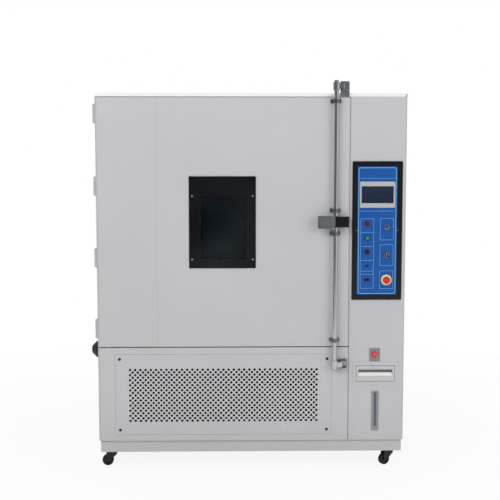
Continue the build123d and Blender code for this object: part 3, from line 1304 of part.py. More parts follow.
def service_port_plug():
    base = LEFT - PORT_FLANGE_T
    stem = PORT_BORE_R - PORT_CLEARANCE
    shoulder = PORT_PLUG_R - PORT_PLUG_TIP_R
    profile = Polyline(
        (0, PORT_STEM_L),
        (stem, PORT_STEM_L),
        (stem, 0),
        (PORT_PLUG_R, 0),
        (PORT_PLUG_R, shoulder - PORT_PLUG_OUT),
        (PORT_PLUG_TIP_R, -PORT_PLUG_OUT),
        (0, -PORT_PLUG_OUT),
        close=True,
    )
    plug = revolve(make_face(profile), Axis.Y)
    plug = fillet(plug.edges().filter_by(GeomType.CIRCLE).sort_by(Axis.Y)[:2], PORT_PLUG_EDGE)
    return Pos(base, PORT_Y, PORT_Z) * Rot(0, 0, -90) * plug


# Casters
def caster_places():
    x = (LEFT + CASTER_INSET_X, RIGHT - CASTER_INSET_X)
    y = (FRONT + CASTER_INSET_Y, REAR - CASTER_INSET_Y)
    return {
        "front_left": (x[0], y[0]),
        "front_right": (x[1], y[0]),
        "rear_left": (x[0], y[1]),
        "rear_right": (x[1], y[1]),
    }


def caster_plates():
    foot = CASTER_H - CASTER_PLATE_T
    made = []
    for x, y in caster_places().values():
        plate = block(span(x, CASTER_PLATE), span(y, CASTER_PLATE), (foot, CASTER_H))
        plate = fillet(plate.edges().filter_by(Axis.Z), CASTER_PLATE / 10)
        made.append(plate + rod_z(CASTER_NECK_R, x, y, (foot - CASTER_NECK_H, foot + 1)))
    return group(*made)


def caster_fork():
    crown = CASTER_H - CASTER_PLATE_T - CASTER_CROWN_GAP
    roof = crown - CASTER_NECK_H - FORK_T
    inside = CASTER_WHEEL_W / 2 + FORK_GAP
    outside = inside + FORK_T
    reach = (-FORK_BEHIND, CASTER_TRAIL + FORK_AHEAD)
    cup = rod_z(CASTER_CUP_R, 0, 0, (roof, crown))
    cup += block(reach, (-outside, outside), (roof, roof + 2 * FORK_T))
    cup -= rod_z(CASTER_NECK_R + CASTER_FIT, 0, 0, (crown - CASTER_NECK_H, crown + 1))
    cheek = Polyline(
        (reach[0], roof + 2 * FORK_T),
        (reach[1], roof + 2 * FORK_T),
        (CASTER_TRAIL + FORK_BOSS_R, CASTER_WHEEL_R),
        (CASTER_TRAIL - FORK_BOSS_R, CASTER_WHEEL_R - FORK_BOSS_R / 2),
        (reach[0], roof - 4 * FORK_T),
        close=True,
    )
    cheek = extrude(Plane.XZ * make_face(cheek), FORK_T)
    fork = cup + Pos(0, -inside, 0) * cheek + Pos(0, outside, 0) * cheek
    for y in ((-outside, -inside), (inside, outside)):
        fork += rod_y(FORK_BOSS_R, CASTER_TRAIL, y, CASTER_WHEEL_R)
    return fork + rod_y(CASTER_AXLE_R, CASTER_TRAIL, (-outside - FORK_T, outside + FORK_T), CASTER_WHEEL_R)


def caster_wheel():
    side = CASTER_WHEEL_W / 2
    wheel = rod_y(CASTER_WHEEL_R, CASTER_TRAIL, (-side, side), CASTER_WHEEL_R)
    wheel = fillet(wheel.edges().filter_by(GeomType.CIRCLE), TYRE_EDGE)
    for y in ((-side - 1, -side + HUB_RECESS), (side - HUB_RECESS, side + 1)):
        wheel -= rod_y(CASTER_WHEEL_R - TYRE_T, CASTER_TRAIL, y, CASTER_WHEEL_R)
    wheel += rod_y(FORK_BOSS_R, CASTER_TRAIL, (-side, side), CASTER_WHEEL_R)
    bore_y = (-side - 1, side + 1)
    return wheel - rod_y(CASTER_AXLE_R + CASTER_FIT, CASTER_TRAIL, bore_y, CASTER_WHEEL_R)


def place_caster(piece, name):
    x, y = caster_places()[name]
    return Pos(x, y, 0) * Rot(0, 0, CASTER_HEADINGS[name]) * piece


NODES = {
    "chassis_frame": chassis_frame(),
    "side_panel_left": side_panel_left(),
    "side_panel_right": side_panel_right(),
    "rear_panel": rear_panel(),
    "top_cover": top_cover(),
    "front_frame": front_frame(),
    "inner_liner": inner_liner(),
    "insulation": insulation(),
    "air_duct_panel": air_duct_panel(),
    "shelves": shelves(),
    "interior_lamp": interior_lamp(),
    "circulation_fan": circulation_fan(),
    "fan_motor": fan_motor(),
    "evaporator": evaporator(),
    "heater": heater(),
    "humidifier": humidifier(),
    "water_tank": water_tank(),
    "compressors": compressors(),
    "condenser": condenser(),
    "condenser_fan": condenser_fan(),
    "control_gear": control_gear(),
    "door_skin": door_skin(),
    "door_core": door_core(),
    "door_inner_panel": door_inner_panel(),
    "door_gasket": door_gasket(),
    "window_plate": window_plate(),
    "window_glass": window_glass(),
    "door_hinge_leaves": door_hinge_leaves(),
    "cabinet_hinge_leaves": cabinet_hinge_leaves(),
    "lock_rod": lock_rod(),
    "lock_keepers": lock_keepers(),
    "rod_guides": rod_guides(),
    "lock_lever": lock_lever(),
    "lock_case": lock_case(),
    "lower_front_panel": lower_front_panel(),
    "grille_panel": grille_panel(),
    "column_panel": column_panel(),
    "water_drawer": water_drawer(),
    "level_gauge": level_gauge(),
    "panel_frame": panel_frame(),
    "control_fascia": control_fascia(),
    "touchscreen": touchscreen(),
    "fascia_fittings": fascia_fittings(),
    "estop_head": estop_head(),
    "green_button": push_button(DEVICE_Z[1]),
    "red_button": push_button(DEVICE_Z[2]),
    "key_switch": key_switch(),
    "rotary_switch": rotary_switch(),
    "overtemp_plate": overtemp_plate(),
    "overtemp_dial": overtemp_dial(),
    "service_port_plug": service_port_plug(),
    "caster_plates": caster_plates(),
}

for corner in CASTER_HEADINGS:
    NODES[f"caster_fork_{corner}"] = place_caster(caster_fork(), corner)
    NODES[f"caster_wheel_{corner}"] = place_caster(caster_wheel(), corner)

for name, shape in NODES.items():
    export_step(shape, f"parts/{name}.step")
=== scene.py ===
# %% [markdown]
# # Environmental test chamber
# A floor-standing climatic chamber: a powder-coated cabinet on four casters, a thick insulated door with a
# dark window, a tall chrome lock rod, and a control column on the right. The construction comes from the
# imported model, which is loaded first. Everything made here only dresses it: finishes, perforations, screws,
# printed lines and small trim.

from math import cos, pi, radians, sin

import bmesh
import bpy
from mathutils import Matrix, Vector


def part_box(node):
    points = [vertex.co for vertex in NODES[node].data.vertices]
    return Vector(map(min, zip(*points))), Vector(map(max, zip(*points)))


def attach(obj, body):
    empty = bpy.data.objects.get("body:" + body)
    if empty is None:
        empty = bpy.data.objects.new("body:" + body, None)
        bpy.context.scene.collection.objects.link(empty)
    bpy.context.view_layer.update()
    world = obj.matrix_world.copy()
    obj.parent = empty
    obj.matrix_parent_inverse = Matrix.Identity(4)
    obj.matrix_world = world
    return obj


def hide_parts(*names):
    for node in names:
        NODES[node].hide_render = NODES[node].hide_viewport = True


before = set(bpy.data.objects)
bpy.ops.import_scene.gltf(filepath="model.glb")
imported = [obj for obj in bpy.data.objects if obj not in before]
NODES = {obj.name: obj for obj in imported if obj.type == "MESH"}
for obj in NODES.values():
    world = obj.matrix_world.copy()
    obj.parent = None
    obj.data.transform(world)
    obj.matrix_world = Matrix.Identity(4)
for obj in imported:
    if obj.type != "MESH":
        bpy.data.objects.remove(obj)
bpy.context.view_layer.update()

# %% [markdown]
# ## Places taken from the model
# A detail that is glued or screwed to a panel has to sit on that panel. So each place below is read from the
# box of the piece that carries it, and only a detail's own size is written as a number. All in metres.

# %% Places on the model
door_low, door_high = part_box("door_skin")
column_low, column_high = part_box("column_panel")
FRONT = door_low.y
LEFT = door_low.x
RIGHT = column_high.x
BODY_FOOT = column_low.z
BODY_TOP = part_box("top_cover")[1].z
BODY_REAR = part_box("side_panel_left")[1].y
fascia_low, fascia_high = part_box("control_fascia")
FASCIA_FACE = fascia_low.y
COLUMN_X = (fascia_low.x + fascia_high.x) / 2
FASCIA_MIDDLE = (COLUMN_X, (fascia_low.z + fascia_high.z) / 2)
FASCIA_WIDTH = fascia_high.x - fascia_low.x
FASCIA_TALL = fascia_high.z - fascia_low.z
print("front plane", round(FRONT, 4), "fascia plane", round(FASCIA_FACE, 4))

# %% [markdown]
# ## Camera
# The photograph looks straight at the front from five and a half metres, a little below the top of the
# cabinet and tilted slightly down, so no side shows. A long lens of about 72 mm keeps the uprights nearly
# parallel.

# %% Camera
CAMERA_PLACE = (-0.0886, -6.205, 1.7575)
CAMERA_TILT_DOWN = 5.34
CAMERA_TURN = -1.10
LENS = 71.6


def add_object(name, data):
    thing = bpy.data.objects.new(name, data)
    bpy.context.scene.collection.objects.link(thing)
    return thing


def add_camera():
    data = bpy.data.cameras.new("photo_camera")
    data.lens = LENS
    data.sensor_width = 36
    camera = add_object("photo_camera", data)
    camera.location = CAMERA_PLACE
    camera.rotation_euler = (radians(90 - CAMERA_TILT_DOWN), 0, radians(CAMERA_TURN))
    bpy.context.scene.camera = camera
    print("camera at", CAMERA_PLACE)


add_camera()

# %% [markdown]
# ## Node helpers
# Every finish is a node tree. Small helpers keep the code short: one adds a node and sets its inputs by name,
# one wires two nodes, with one name where both sockets share it, one feeds a node the place on the piece, and
# one starts a material and lists it by name. Shared effects, such as the pebble of a powder coat, are node
# groups that hand out plain values, and the shader itself stays in each material. A noise texture stays near
# the middle of its range, so only that part of it is spread over the wanted values.

# %% Node helpers
NOISE_LOW = 0.3
NOISE_HIGH = 0.7
LEAST_ROUGHNESS = 0.02
NUMBER = "NodeSocketFloat"
VECTOR = "NodeSocketVector"
WHOLE = "NodeSocketInt"
FINISH = {}


def add_node(tree, kind, **settings):
    node = tree.nodes.new(kind)
    for key, value in settings.items():
        if hasattr(node, key):
            setattr(node, key, value)
        else:
            node.inputs[key.replace("_", " ")].default_value = value
    return node


def wire(source, output, target, entry=None):
    entry = output if entry is None else entry
    source.id_data.links.new(source.outputs[output], target.inputs[entry])


def start_material(name):
    material = bpy.data.materials.new(name)
    material.use_nodes = True
    FINISH[name] = material
    return material.node_tree, material.node_tree.nodes["Principled BSDF"]


def set_inputs(node, **values):
    for key, value in values.items():
        node.inputs[key.replace("_", " ")].default_value = value


def start_group(name, inputs, outputs):
    tree = bpy.data.node_groups.new(name, "ShaderNodeTree")
    for label, kind, value in inputs:
        socket = tree.interface.new_socket(label, in_out="INPUT", socket_type=kind)
        if value is not None:
            socket.default_value = value
    for label, kind in outputs:
        tree.interface.new_socket(label, in_out="OUTPUT", socket_type=kind)
    return tree, tree.nodes.new("NodeGroupInput"), tree.nodes.new("NodeGroupOutput")


def use_group(tree, group, **values):
    node = tree.nodes.new("ShaderNodeGroup")
    node.node_tree = group
    set_inputs(node, **values)
    return node


def use_place(node, entry="Vector"):
    wire(add_node(node.id_data, "ShaderNodeTexCoord"), "Object", node, entry)


def colour_mix(tree, blend, first, second=None):
    node = add_node(tree, "ShaderNodeMix", data_type="RGBA", blend_type=blend)
    sockets = {s.identifier: s for s in (*node.inputs, *node.outputs)}
    sockets["Factor_Float"].default_value = 1.0
    sockets["A_Color"].default_value = (*first, 1)
    if second is not None:
        sockets["B_Color"].default_value = (*second, 1)
    return sockets


def spread_noise(tree, lowest, highest):
    return add_node(
        tree, "ShaderNodeMapRange", From_Min=NOISE_LOW, From_Max=NOISE_HIGH, To_Min=lowest, To_Max=highest
    )


def vary_gloss(source, output, shader, lowest, highest):
    gloss = spread_noise(shader.id_data, lowest, highest)
    wire(source, output, gloss, "Value")
    wire(gloss, "Result", shader, "Roughness")


def raise_relief(source, output, shader, strength, distance):
    relief = add_node(shader.id_data, "ShaderNodeBump", Strength=strength, Distance=distance)
    wire(source, output, relief, "Height")
    wire(relief, "Normal", shader)


# %% [markdown]
# ## The surface of a powder coat
# Baked powder paint is never quite flat. It has a fine pebble of about two millimetres and a slow drift in
# shade from panel to panel, and the paint is made a little darker towards the bottom. One group gives them as
# a shade and a height, so that every painted piece shares them at the same scale.

# %% Powder coat group
def make_powder_group():
    inputs = [("Vector", VECTOR, None), ("Pebble Scale", NUMBER, 420.0), ("Drift Scale", NUMBER, 1.7)]
    tree, entry, exit_node = start_group("powder_coat", inputs, [("Shade", NUMBER), ("Height", NUMBER)])
    pebble = add_node(tree, "ShaderNodeTexNoise", Detail=2.0, Roughness=0.5)
    drift = add_node(tree, "ShaderNodeTexNoise", Detail=3.0, Roughness=0.6)
    low = add_node(tree, "ShaderNodeSeparateXYZ")
    # Darker towards the bottom: the shade factor falls from 1.0 at 0.35 m height to 0.955 at the floor.
    lower_darkening = add_node(tree, "ShaderNodeMapRange", From_Min=0.0, From_Max=0.35, To_Min=0.955, To_Max=1.0)
    shade = spread_noise(tree, 0.975, 1.02)
    both = add_node(tree, "ShaderNodeMath", operation="MULTIPLY")
    wire(entry, "Vector", pebble)
    wire(entry, "Pebble Scale", pebble, "Scale")
    wire(entry, "Vector", drift)
    wire(entry, "Drift Scale", drift, "Scale")
    wire(entry, "Vector", low)
    wire(low, "Z", lower_darkening, "Value")
    wire(drift, "Fac", shade, "Value")
    wire(shade, "Result", both, 0)
    wire(lower_darkening, "Result", both, 1)
    wire(both, "Value", exit_node, "Shade")
    wire(pebble, "Fac", exit_node, "Height")
    return tree


POWDER = make_powder_group()


def powder_coat(name, colour, roughness=0.42, spread=0.05, bump=0.12, depth=0.0004):
    tree, shader = start_material(name)
    coat = use_group(tree, POWDER)
    tint = colour_mix(tree, "MULTIPLY", colour)
    link = tree.links.new
    use_place(coat)
    link(coat.outputs["Shade"], tint["B_Color"])
    link(tint["Result_Color"], shader.inputs["Base Color"])
    vary_gloss(coat, "Height", shader, roughness - spread, roughness + spread)
    raise_relief(coat, "Height", shader, bump, depth)


# %% [markdown]
# ## The grain of brushed and drawn metal
# Stainless sheet is brushed in one direction. A noise that is stretched a hundred times along that direction
# gives the fine streaks. The same group, stretched less, gives the faint clouds on zinc plate, and almost
# nothing on chrome.

# %% Metal grain group
METAL_DARK = 0.86
METAL_BRIGHT = 1.06


def make_grain_group():
    inputs = [("Vector", VECTOR, None), ("Stretch", VECTOR, (1.0, 1.0, 1.0)), ("Scale", NUMBER, 30.0)]
    tree, entry, exit_node = start_group("metal_grain", inputs, [("Streak", NUMBER), ("Cloud", NUMBER)])
    stretched = add_node(tree, "ShaderNodeVectorMath", operation="MULTIPLY")
    streak = add_node(tree, "ShaderNodeTexNoise", Detail=4.0, Roughness=0.6)
    cloud = add_node(tree, "ShaderNodeTexNoise", Scale=6.0, Detail=3.0, Roughness=0.55)
    wire(entry, "Vector", stretched, 0)
    wire(entry, "Stretch", stretched, 1)
    wire(stretched, "Vector", streak)
    wire(entry, "Scale", streak)
    wire(entry, "Vector", cloud)
    wire(streak, "Fac", exit_node, "Streak")
    wire(cloud, "Fac", exit_node, "Cloud")
    return tree


GRAIN = make_grain_group()


def bare_metal(
    name, colour, roughness, stretch=(1.0, 1.0, 1.0), scale=30.0, spread=0.12, bump=0.05, depth=0.0003
):
    tree, shader = start_material(name)
    set_inputs(shader, Metallic=1.0)
    grain = use_group(tree, GRAIN, Stretch=stretch, Scale=scale)
    dark = [c * METAL_DARK for c in colour]
    bright = [min(1.0, c * METAL_BRIGHT) for c in colour]
    tint = colour_mix(tree, "MIX", dark, bright)
    lowest = max(LEAST_ROUGHNESS, roughness - spread / 2)
    link = tree.links.new
    use_place(grain)
    link(grain.outputs["Cloud"], tint["Factor_Float"])
    link(tint["Result_Color"], shader.inputs["Base Color"])
    vary_gloss(grain, "Streak", shader, lowest, roughness + spread / 2)
    raise_relief(grain, "Streak", shader, bump, depth)


# %% [markdown]
# ## Plastics, rubber and foam
# Moulded parts differ by gloss and by the size of their grain. One function covers them: a noise at the
# grain's own scale drives a slight change of shade, of gloss and of relief.

# %% Moulded materials
MOULD_GLOSS = 0.04
MOULD_DEPTH = 0.0003


def moulded(name, colour, roughness, grain_scale=900.0, bump=0.08, shade=0.08, coat=0.0):
    tree, shader = start_material(name)
    set_inputs(shader, Coat_Weight=coat, Coat_Roughness=0.06)
    noise = add_node(tree, "ShaderNodeTexNoise", Scale=grain_scale, Detail=3.0)
    ramp = spread_noise(tree, 1 - shade, 1 + shade)
    tint = colour_mix(tree, "MULTIPLY", colour)
    lowest = max(LEAST_ROUGHNESS, roughness - MOULD_GLOSS)
    link = tree.links.new
    use_place(noise)
    wire(noise, "Fac", ramp, "Value")
    link(ramp.outputs["Result"], tint["B_Color"])
    link(tint["Result_Color"], shader.inputs["Base Color"])
    vary_gloss(noise, "Fac", shader, lowest, roughness + MOULD_GLOSS)
    raise_relief(noise, "Fac", shader, bump, MOULD_DEPTH)


# %% [markdown]
# ## Window glass
# The window is a stack of panes. Seen from outside it is dark and slightly blue, with a soft reflection of
# the room. A real refracting glass would leave the inside of the cabinet black in a render, because lamps
# can't light through it. So each pane is a thin tint that lets most light pass, under a clear gloss.

# %% Glass
HAZE = 0.04


def tinted_glass(name, colour, opacity):
    tree, shader = start_material(name)
    set_inputs(shader, Base_Color=(*colour, 1), Roughness=0.04, IOR=1.5, Coat_Weight=1.0, Coat_Roughness=0.02)
    smear = add_node(tree, "ShaderNodeTexNoise", Scale=7.0, Detail=4.0)
    haze = add_node(
        tree, "ShaderNodeMapRange", From_Min=0.35, From_Max=0.75, To_Min=opacity, To_Max=opacity + HAZE
    )
    use_place(smear)
    wire(smear, "Fac", haze, "Value")
    wire(haze, "Result", shader, "Alpha")


# %% [markdown]
# ## The list of finishes
# Each line gives a finish its colour, in linear values, and its roughness. A metal goes on with the stretch
# and the scale of its grain, the spread of its gloss, and the strength and depth of its relief. A moulded
# finish goes on with the scale of its grain, its relief, its change of shade and its clear coat.

# %% Finishes
powder_coat("cabinet_paint", (0.50, 0.50, 0.512))
# A light grey for painted highlights: the light caught by the top cover's front edge and by the lower half of
# the drawer's scoop.
powder_coat("highlight_paint", (0.80, 0.80, 0.80))
powder_coat("joint_paint", (0.36, 0.36, 0.37))
powder_coat("base_paint", (0.50, 0.50, 0.505), roughness=0.5)
bare_metal("stainless_sheet", (0.60, 0.60, 0.61), 0.3, (140.0, 1.5, 1.5), 9.0, 0.16)
bare_metal("zinc_plate", (0.46, 0.47, 0.49), 0.38, scale=60.0)
bare_metal("guide_steel", (0.25, 0.26, 0.28), 0.36, scale=80.0)
bare_metal("chrome", (0.72, 0.73, 0.75), 0.09, scale=14.0, spread=0.04, bump=0.01)
bare_metal("lever_chrome", (0.66, 0.68, 0.7), 0.11, (1.0, 1.0, 1.6), 5.0, 0.05, 0.25, 0.004)
bare_metal("rod_chrome", (0.62, 0.62, 0.64), 0.16, (1.0, 1.0, 60.0), 14.0, 0.08, 0.02)
# A black coat on the condenser fins, which also paints the shade seen through the grille's holes.
bare_metal("fin_black_and_painted_shade", (0.035, 0.036, 0.04), 0.5, (1.0, 1.0, 90.0), 12.0)
bare_metal("fin_aluminium", (0.66, 0.67, 0.68), 0.42, (1.0, 1.0, 90.0), 12.0)
moulded("machine_black", (0.006, 0.006, 0.0075), 0.38, 300.0, 0.1)
moulded("foam", (0.78, 0.66, 0.40), 0.85, 260.0, 0.5, 0.12)
moulded("silicone", (0.74, 0.73, 0.70), 0.55, 500.0, 0.05, 0.04)
moulded("rubber", (0.022, 0.022, 0.024), 0.55, 700.0, 0.2)
moulded("tyre", (0.006, 0.006, 0.007), 0.45, 500.0, 0.2)
moulded("window_black", (0.004, 0.0045, 0.006), 0.12, 40.0, 0.0, 0.04, 0.2)
moulded("case_black", (0.003, 0.003, 0.0045), 0.16, 60.0, 0.02, 0.04, 0.2)
moulded("frame_black", (0.003, 0.003, 0.0045), 0.3, 1200.0, 0.06)
moulded("bezel_grey", (0.42, 0.43, 0.44), 0.4, 1000.0, 0.06)
bare_metal("trim_grey", (0.40, 0.41, 0.43), 0.42, (1.0, 1.0, 90.0), 14.0)
moulded("tank_white", (0.72, 0.74, 0.74), 0.45, 90.0, 0.04, 0.05)
moulded("red_cap", (0.60, 0.016, 0.022), 0.28, 400.0, 0.03, 0.05, 0.3)
moulded("dark_red_cap", (0.055, 0.004, 0.016), 0.22, 400.0, 0.02, 0.06, 0.4)
moulded("green_cap", (0.008, 0.26, 0.17), 0.25, 400.0, 0.02, 0.06, 0.4)
moulded("black_plastic", (0.014, 0.014, 0.016), 0.35, 900.0, 0.1)
moulded("screen_glass", (0.010, 0.020, 0.042), 0.1, 40.0, 0.0, 0.05, 0.7)
moulded("gauge_blue", (0.055, 0.065, 0.115), 0.2, 60.0, 0.0, 0.1, 0.5)
# A dark grey for painted shade, in the upper half of the drawer's scoop.
powder_coat("painted_shade_grey", (0.12, 0.12, 0.125))
moulded("white_print", (0.80, 0.81, 0.82), 0.5, 900.0, 0.03, 0.03)
moulded("blue_print", (0.13, 0.40, 0.72), 0.42, 900.0, 0.03, 0.05)
moulded("fascia_blue", (0.0008, 0.075, 0.33), 0.36, 1100.0, 0.05, 0.05)
tinted_glass("clear_glass", (0.010, 0.017, 0.024), 0.15)
tinted_glass("lamp_glass", (0.75, 0.76, 0.72), 0.5)
print("finishes", len(FINISH))

# %% Finish of each node of the model
FINISH_OF = {
    "cabinet_paint": (
        "side_panel_left side_panel_right rear_panel top_cover door_skin lower_front_panel grille_panel "
        "column_panel water_drawer door_hinge_leaves cabinet_hinge_leaves"
    ),
    "base_paint": "chassis_frame",
    "stainless_sheet": "front_frame inner_liner air_duct_panel shelves door_inner_panel heater humidifier",
    "zinc_plate": "circulation_fan condenser_fan control_gear lock_keepers caster_plates",
    "guide_steel": "rod_guides",
    "lever_chrome": "lock_lever",
    "rod_chrome": "lock_rod",
    "fin_aluminium": "evaporator",
    "fin_black_and_painted_shade": "condenser",
    "machine_black": "fan_motor compressors",
    "foam": "insulation door_core",
    "silicone": "door_gasket",
    "rubber": "service_port_plug",
    "window_black": "window_plate",
    "case_black": "lock_case",
    "frame_black": "panel_frame",
    "bezel_grey": "touchscreen",
    "trim_grey": "level_gauge overtemp_plate",
    "tank_white": "water_tank",
    "red_cap": "estop_head overtemp_dial",
    "dark_red_cap": "red_button",
    "green_cap": "green_button",
    "black_plastic": "rotary_switch",
    "fascia_blue": "control_fascia",
    "clear_glass": "window_glass",
    "lamp_glass": "interior_lamp",
}


def dress(node, finish):
    materials = NODES[node].data.materials
    materials.clear()
    materials.append(FINISH[finish])


def dress_nodes():
    for finish, names in FINISH_OF.items():
        for name in names.split():
            dress(name, finish)
    for name in NODES:
        if name.startswith("caster_fork"):
            dress(name, "machine_black")
        elif name.startswith("caster_wheel"):
            dress(name, "tyre")


dress_nodes()

# %% [markdown]
# ## Geometry Nodes helpers
# What repeats on the chamber, such as perforations, screws and the marks of a dial, is made by a small node
# tree with named sizes. A tree runs on an object's modifier. Its inputs are set by identifier, the result
# is turned into a plain mesh, and the modifier goes, so that the piece stays simple and can ride on its body.

# %% Geometry Nodes helpers
CORNER_STEPS = 4
MERGE_DISTANCE = 0.00001
SMOOTH_BELOW = radians(30)


def start_geometry(name, inputs):
    tree = bpy.data.node_groups.new(name, "GeometryNodeTree")
    tree.interface.new_socket("Geometry", in_out="OUTPUT", socket_type="NodeSocketGeometry")
    points = tree.interface.new_socket("Points", in_out="INPUT", socket_type="NodeSocketGeometry")
    known = {"Points": points.identifier}
    for label, kind in (*inputs, ("Material", "NodeSocketMaterial")):
        known[label] = tree.interface.new_socket(label, in_out="INPUT", socket_type=kind).identifier
    return tree, known, tree.nodes.new("NodeGroupInput"), tree.nodes.new("NodeGroupOutput")


def close_geometry(tree, entry, exit_node, last, output):
    whole = add_node(tree, "GeometryNodeRealizeInstances")
    paint = add_node(tree, "GeometryNodeSetMaterial")
    wire(last, output, whole, "Geometry")
    wire(whole, "Geometry", paint)
    wire(entry, "Material", paint)
    wire(paint, "Geometry", exit_node)


def run_geometry(name, tree_and_inputs, finish, points=((0, 0, 0),), **values):
    tree, known = tree_and_inputs
    start = bpy.data.meshes.new(name + "_points")
    start.from_pydata([tuple(p) for p in points], [], [])
    piece = add_object(name, start)
    modifier = piece.modifiers.new("shape", "NODES")
    modifier.node_group = tree
    modifier[known["Material"]] = FINISH[finish]
    for label, value in values.items():
        modifier[known[label.replace("_", " ")]] = value
    bpy.context.view_layer.update()
    made = bpy.data.meshes.new_from_object(piece.evaluated_get(bpy.context.evaluated_depsgraph_get()))
    piece.modifiers.remove(modifier)
    piece.data = made
    bpy.data.meshes.remove(start)
    return piece


def face_outwards(piece):
    shape = bmesh.new()
    shape.from_mesh(piece.data)
    bmesh.ops.remove_doubles(shape, verts=shape.verts, dist=MERGE_DISTANCE)
    bmesh.ops.recalc_face_normals(shape, faces=shape.faces)
    shape.to_mesh(piece.data)
    shape.free()


def smooth_by_angle(piece):
    for polygon in piece.data.polygons:
        polygon.use_smooth = True
    piece.data.set_sharp_from_angle(angle=SMOOTH_BELOW)


# %% [markdown]
# ## The perforated grille
# The lower front has a screwed-on sheet with staggered round holes, through which the condenser breathes. The
# holes are real: a tree fills a flat rectangle round two interleaved grids of circles, one for the main rows
# and one for the rows between them, and gives the sheet its thickness. It stands for the plain sheet of the
# model, which stays in place for contact.

# %% Perforated grille
HOLE_RADIUS = 0.0072
HOLE_PITCH = 0.0291
HOLE_COLUMNS = 37
HOLE_ROWS = 11
HOLES_SHIFT = (0.0, -0.004, 0.0)
SHEET_CORNER = 0.004


def circles_on_grid(tree, entry, less):
    counts = []
    sizes = []
    for label in ("Columns", "Rows"):
        count = add_node(tree, "ShaderNodeMath", operation="SUBTRACT")
        steps = add_node(tree, "ShaderNodeMath", operation="SUBTRACT")
        size = add_node(tree, "ShaderNodeMath", operation="MULTIPLY")
        count.inputs[1].default_value = less
        steps.inputs[1].default_value = less + 1
        wire(entry, label, count, 0)
        wire(entry, label, steps, 0)
        wire(steps, 0, size, 0)
        wire(entry, "Pitch", size, 1)
        counts.append(count)
        sizes.append(size)
    grid = add_node(tree, "GeometryNodeMeshGrid")
    circle = add_node(tree, "GeometryNodeCurvePrimitiveCircle", Resolution=16)
    place = add_node(tree, "GeometryNodeInstanceOnPoints")
    wire(sizes[0], 0, grid, "Size X")
    wire(sizes[1], 0, grid, "Size Y")
    wire(counts[0], 0, grid, "Vertices X")
    wire(counts[1], 0, grid, "Vertices Y")
    wire(entry, "Hole Radius", circle, "Radius")
    wire(grid, "Mesh", place, "Points")
    wire(circle, "Curve", place, "Instance")
    return place


def make_perforated_sheet():
    sizes = ("Width", "Height", "Corner", "Thickness", "Hole Radius", "Pitch")
    inputs = [(label, NUMBER) for label in sizes]
    inputs += [("Columns", WHOLE), ("Rows", WHOLE), ("Holes At", VECTOR), ("Middle", VECTOR)]
    tree, known, entry, exit_node = start_geometry("perforated_sheet", inputs)
    edge = add_node(tree, "GeometryNodeCurvePrimitiveQuadrilateral")
    round_edge = add_node(tree, "GeometryNodeFilletCurve", mode="POLY", Count=CORNER_STEPS)
    holes = add_node(tree, "GeometryNodeJoinGeometry")
    shift = add_node(tree, "GeometryNodeTransform")
    joined = add_node(tree, "GeometryNodeJoinGeometry")
    whole = add_node(tree, "GeometryNodeRealizeInstances")
    fill = add_node(tree, "GeometryNodeFillCurve", mode="TRIANGLES")
    depth = add_node(tree, "GeometryNodeExtrudeMesh", Individual=False)
    both = add_node(tree, "GeometryNodeJoinGeometry")
    stand = add_node(tree, "GeometryNodeTransform", Rotation=(pi / 2, 0, 0))
    back = add_node(tree, "ShaderNodeMath", operation="MULTIPLY")
    back.inputs[1].default_value = -1
    wire(entry, "Width", edge)
    wire(entry, "Height", edge)
    wire(edge, "Curve", round_edge)
    wire(entry, "Corner", round_edge, "Radius")
    for less in (0, 1):
        wire(circles_on_grid(tree, entry, less), "Instances", holes, "Geometry")
    wire(holes, "Geometry", shift)
    wire(entry, "Holes At", shift, "Translation")
    wire(round_edge, "Curve", joined, "Geometry")
    wire(shift, "Geometry", joined)
    wire(joined, "Geometry", whole)
    wire(whole, "Geometry", fill, "Curve")
    wire(fill, "Mesh", depth)
    wire(entry, "Thickness", back, 0)
    wire(back, 0, depth, "Offset Scale")
    wire(fill, "Mesh", both, "Geometry")
    wire(depth, "Mesh", both, "Geometry")
    wire(both, "Geometry", stand)
    wire(entry, "Middle", stand, "Translation")
    close_geometry(tree, entry, exit_node, stand, "Geometry")
    return tree, known


PERFORATED = make_perforated_sheet()


def add_grille():
    low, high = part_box("grille_panel")
    middle = (low + high) / 2
    grille = run_geometry(
        "grille_sheet",
        PERFORATED,
        "cabinet_paint",
        Width=high.x - low.x,
        Height=high.z - low.z,
        Corner=SHEET_CORNER,
        Thickness=high.y - low.y,
        Hole_Radius=HOLE_RADIUS,
        Pitch=HOLE_PITCH,
        Columns=HOLE_COLUMNS,
        Rows=HOLE_ROWS,
        Holes_At=HOLES_SHIFT,
        Middle=(middle.x, low.y, middle.z),
    )
    face_outwards(grille)
    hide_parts("grille_panel")
    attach(grille, "cabinet")
    print("grille", len(grille.data.polygons), "faces")


add_grille()

# %% [markdown]
# ## Screws
# A real screw head is a low dome with a recess for the driver. One function draws such a head from rings of
# points: out along the underside, over the dome, in to the outline of the recess and down to its floor. The
# recess is a hexagon or a cross. A tree then sets a copy on each given point, turned to face the panel.

# %% Screw heads
SCREW_RING = 32
HEAD_PROFILE = ((1.0, 0.0), (1.0, 0.45), (0.86, 0.85), (0.62, 1.0))
RECESS_SIZE = 0.45
RECESS_LEVELS = (1.0, 0.35)
CROSS_ARM = 0.28
TINY = 1e-6


def hexagon_reach(angle, size):
    return size / cos((angle % (pi / 3)) - pi / 6)


def cross_reach(angle, size):
    along = max(abs(cos(angle)), TINY)
    across = max(abs(sin(angle)), TINY)
    arm = CROSS_ARM * size
    return max(min(size / along, arm / across), min(size / across, arm / along))


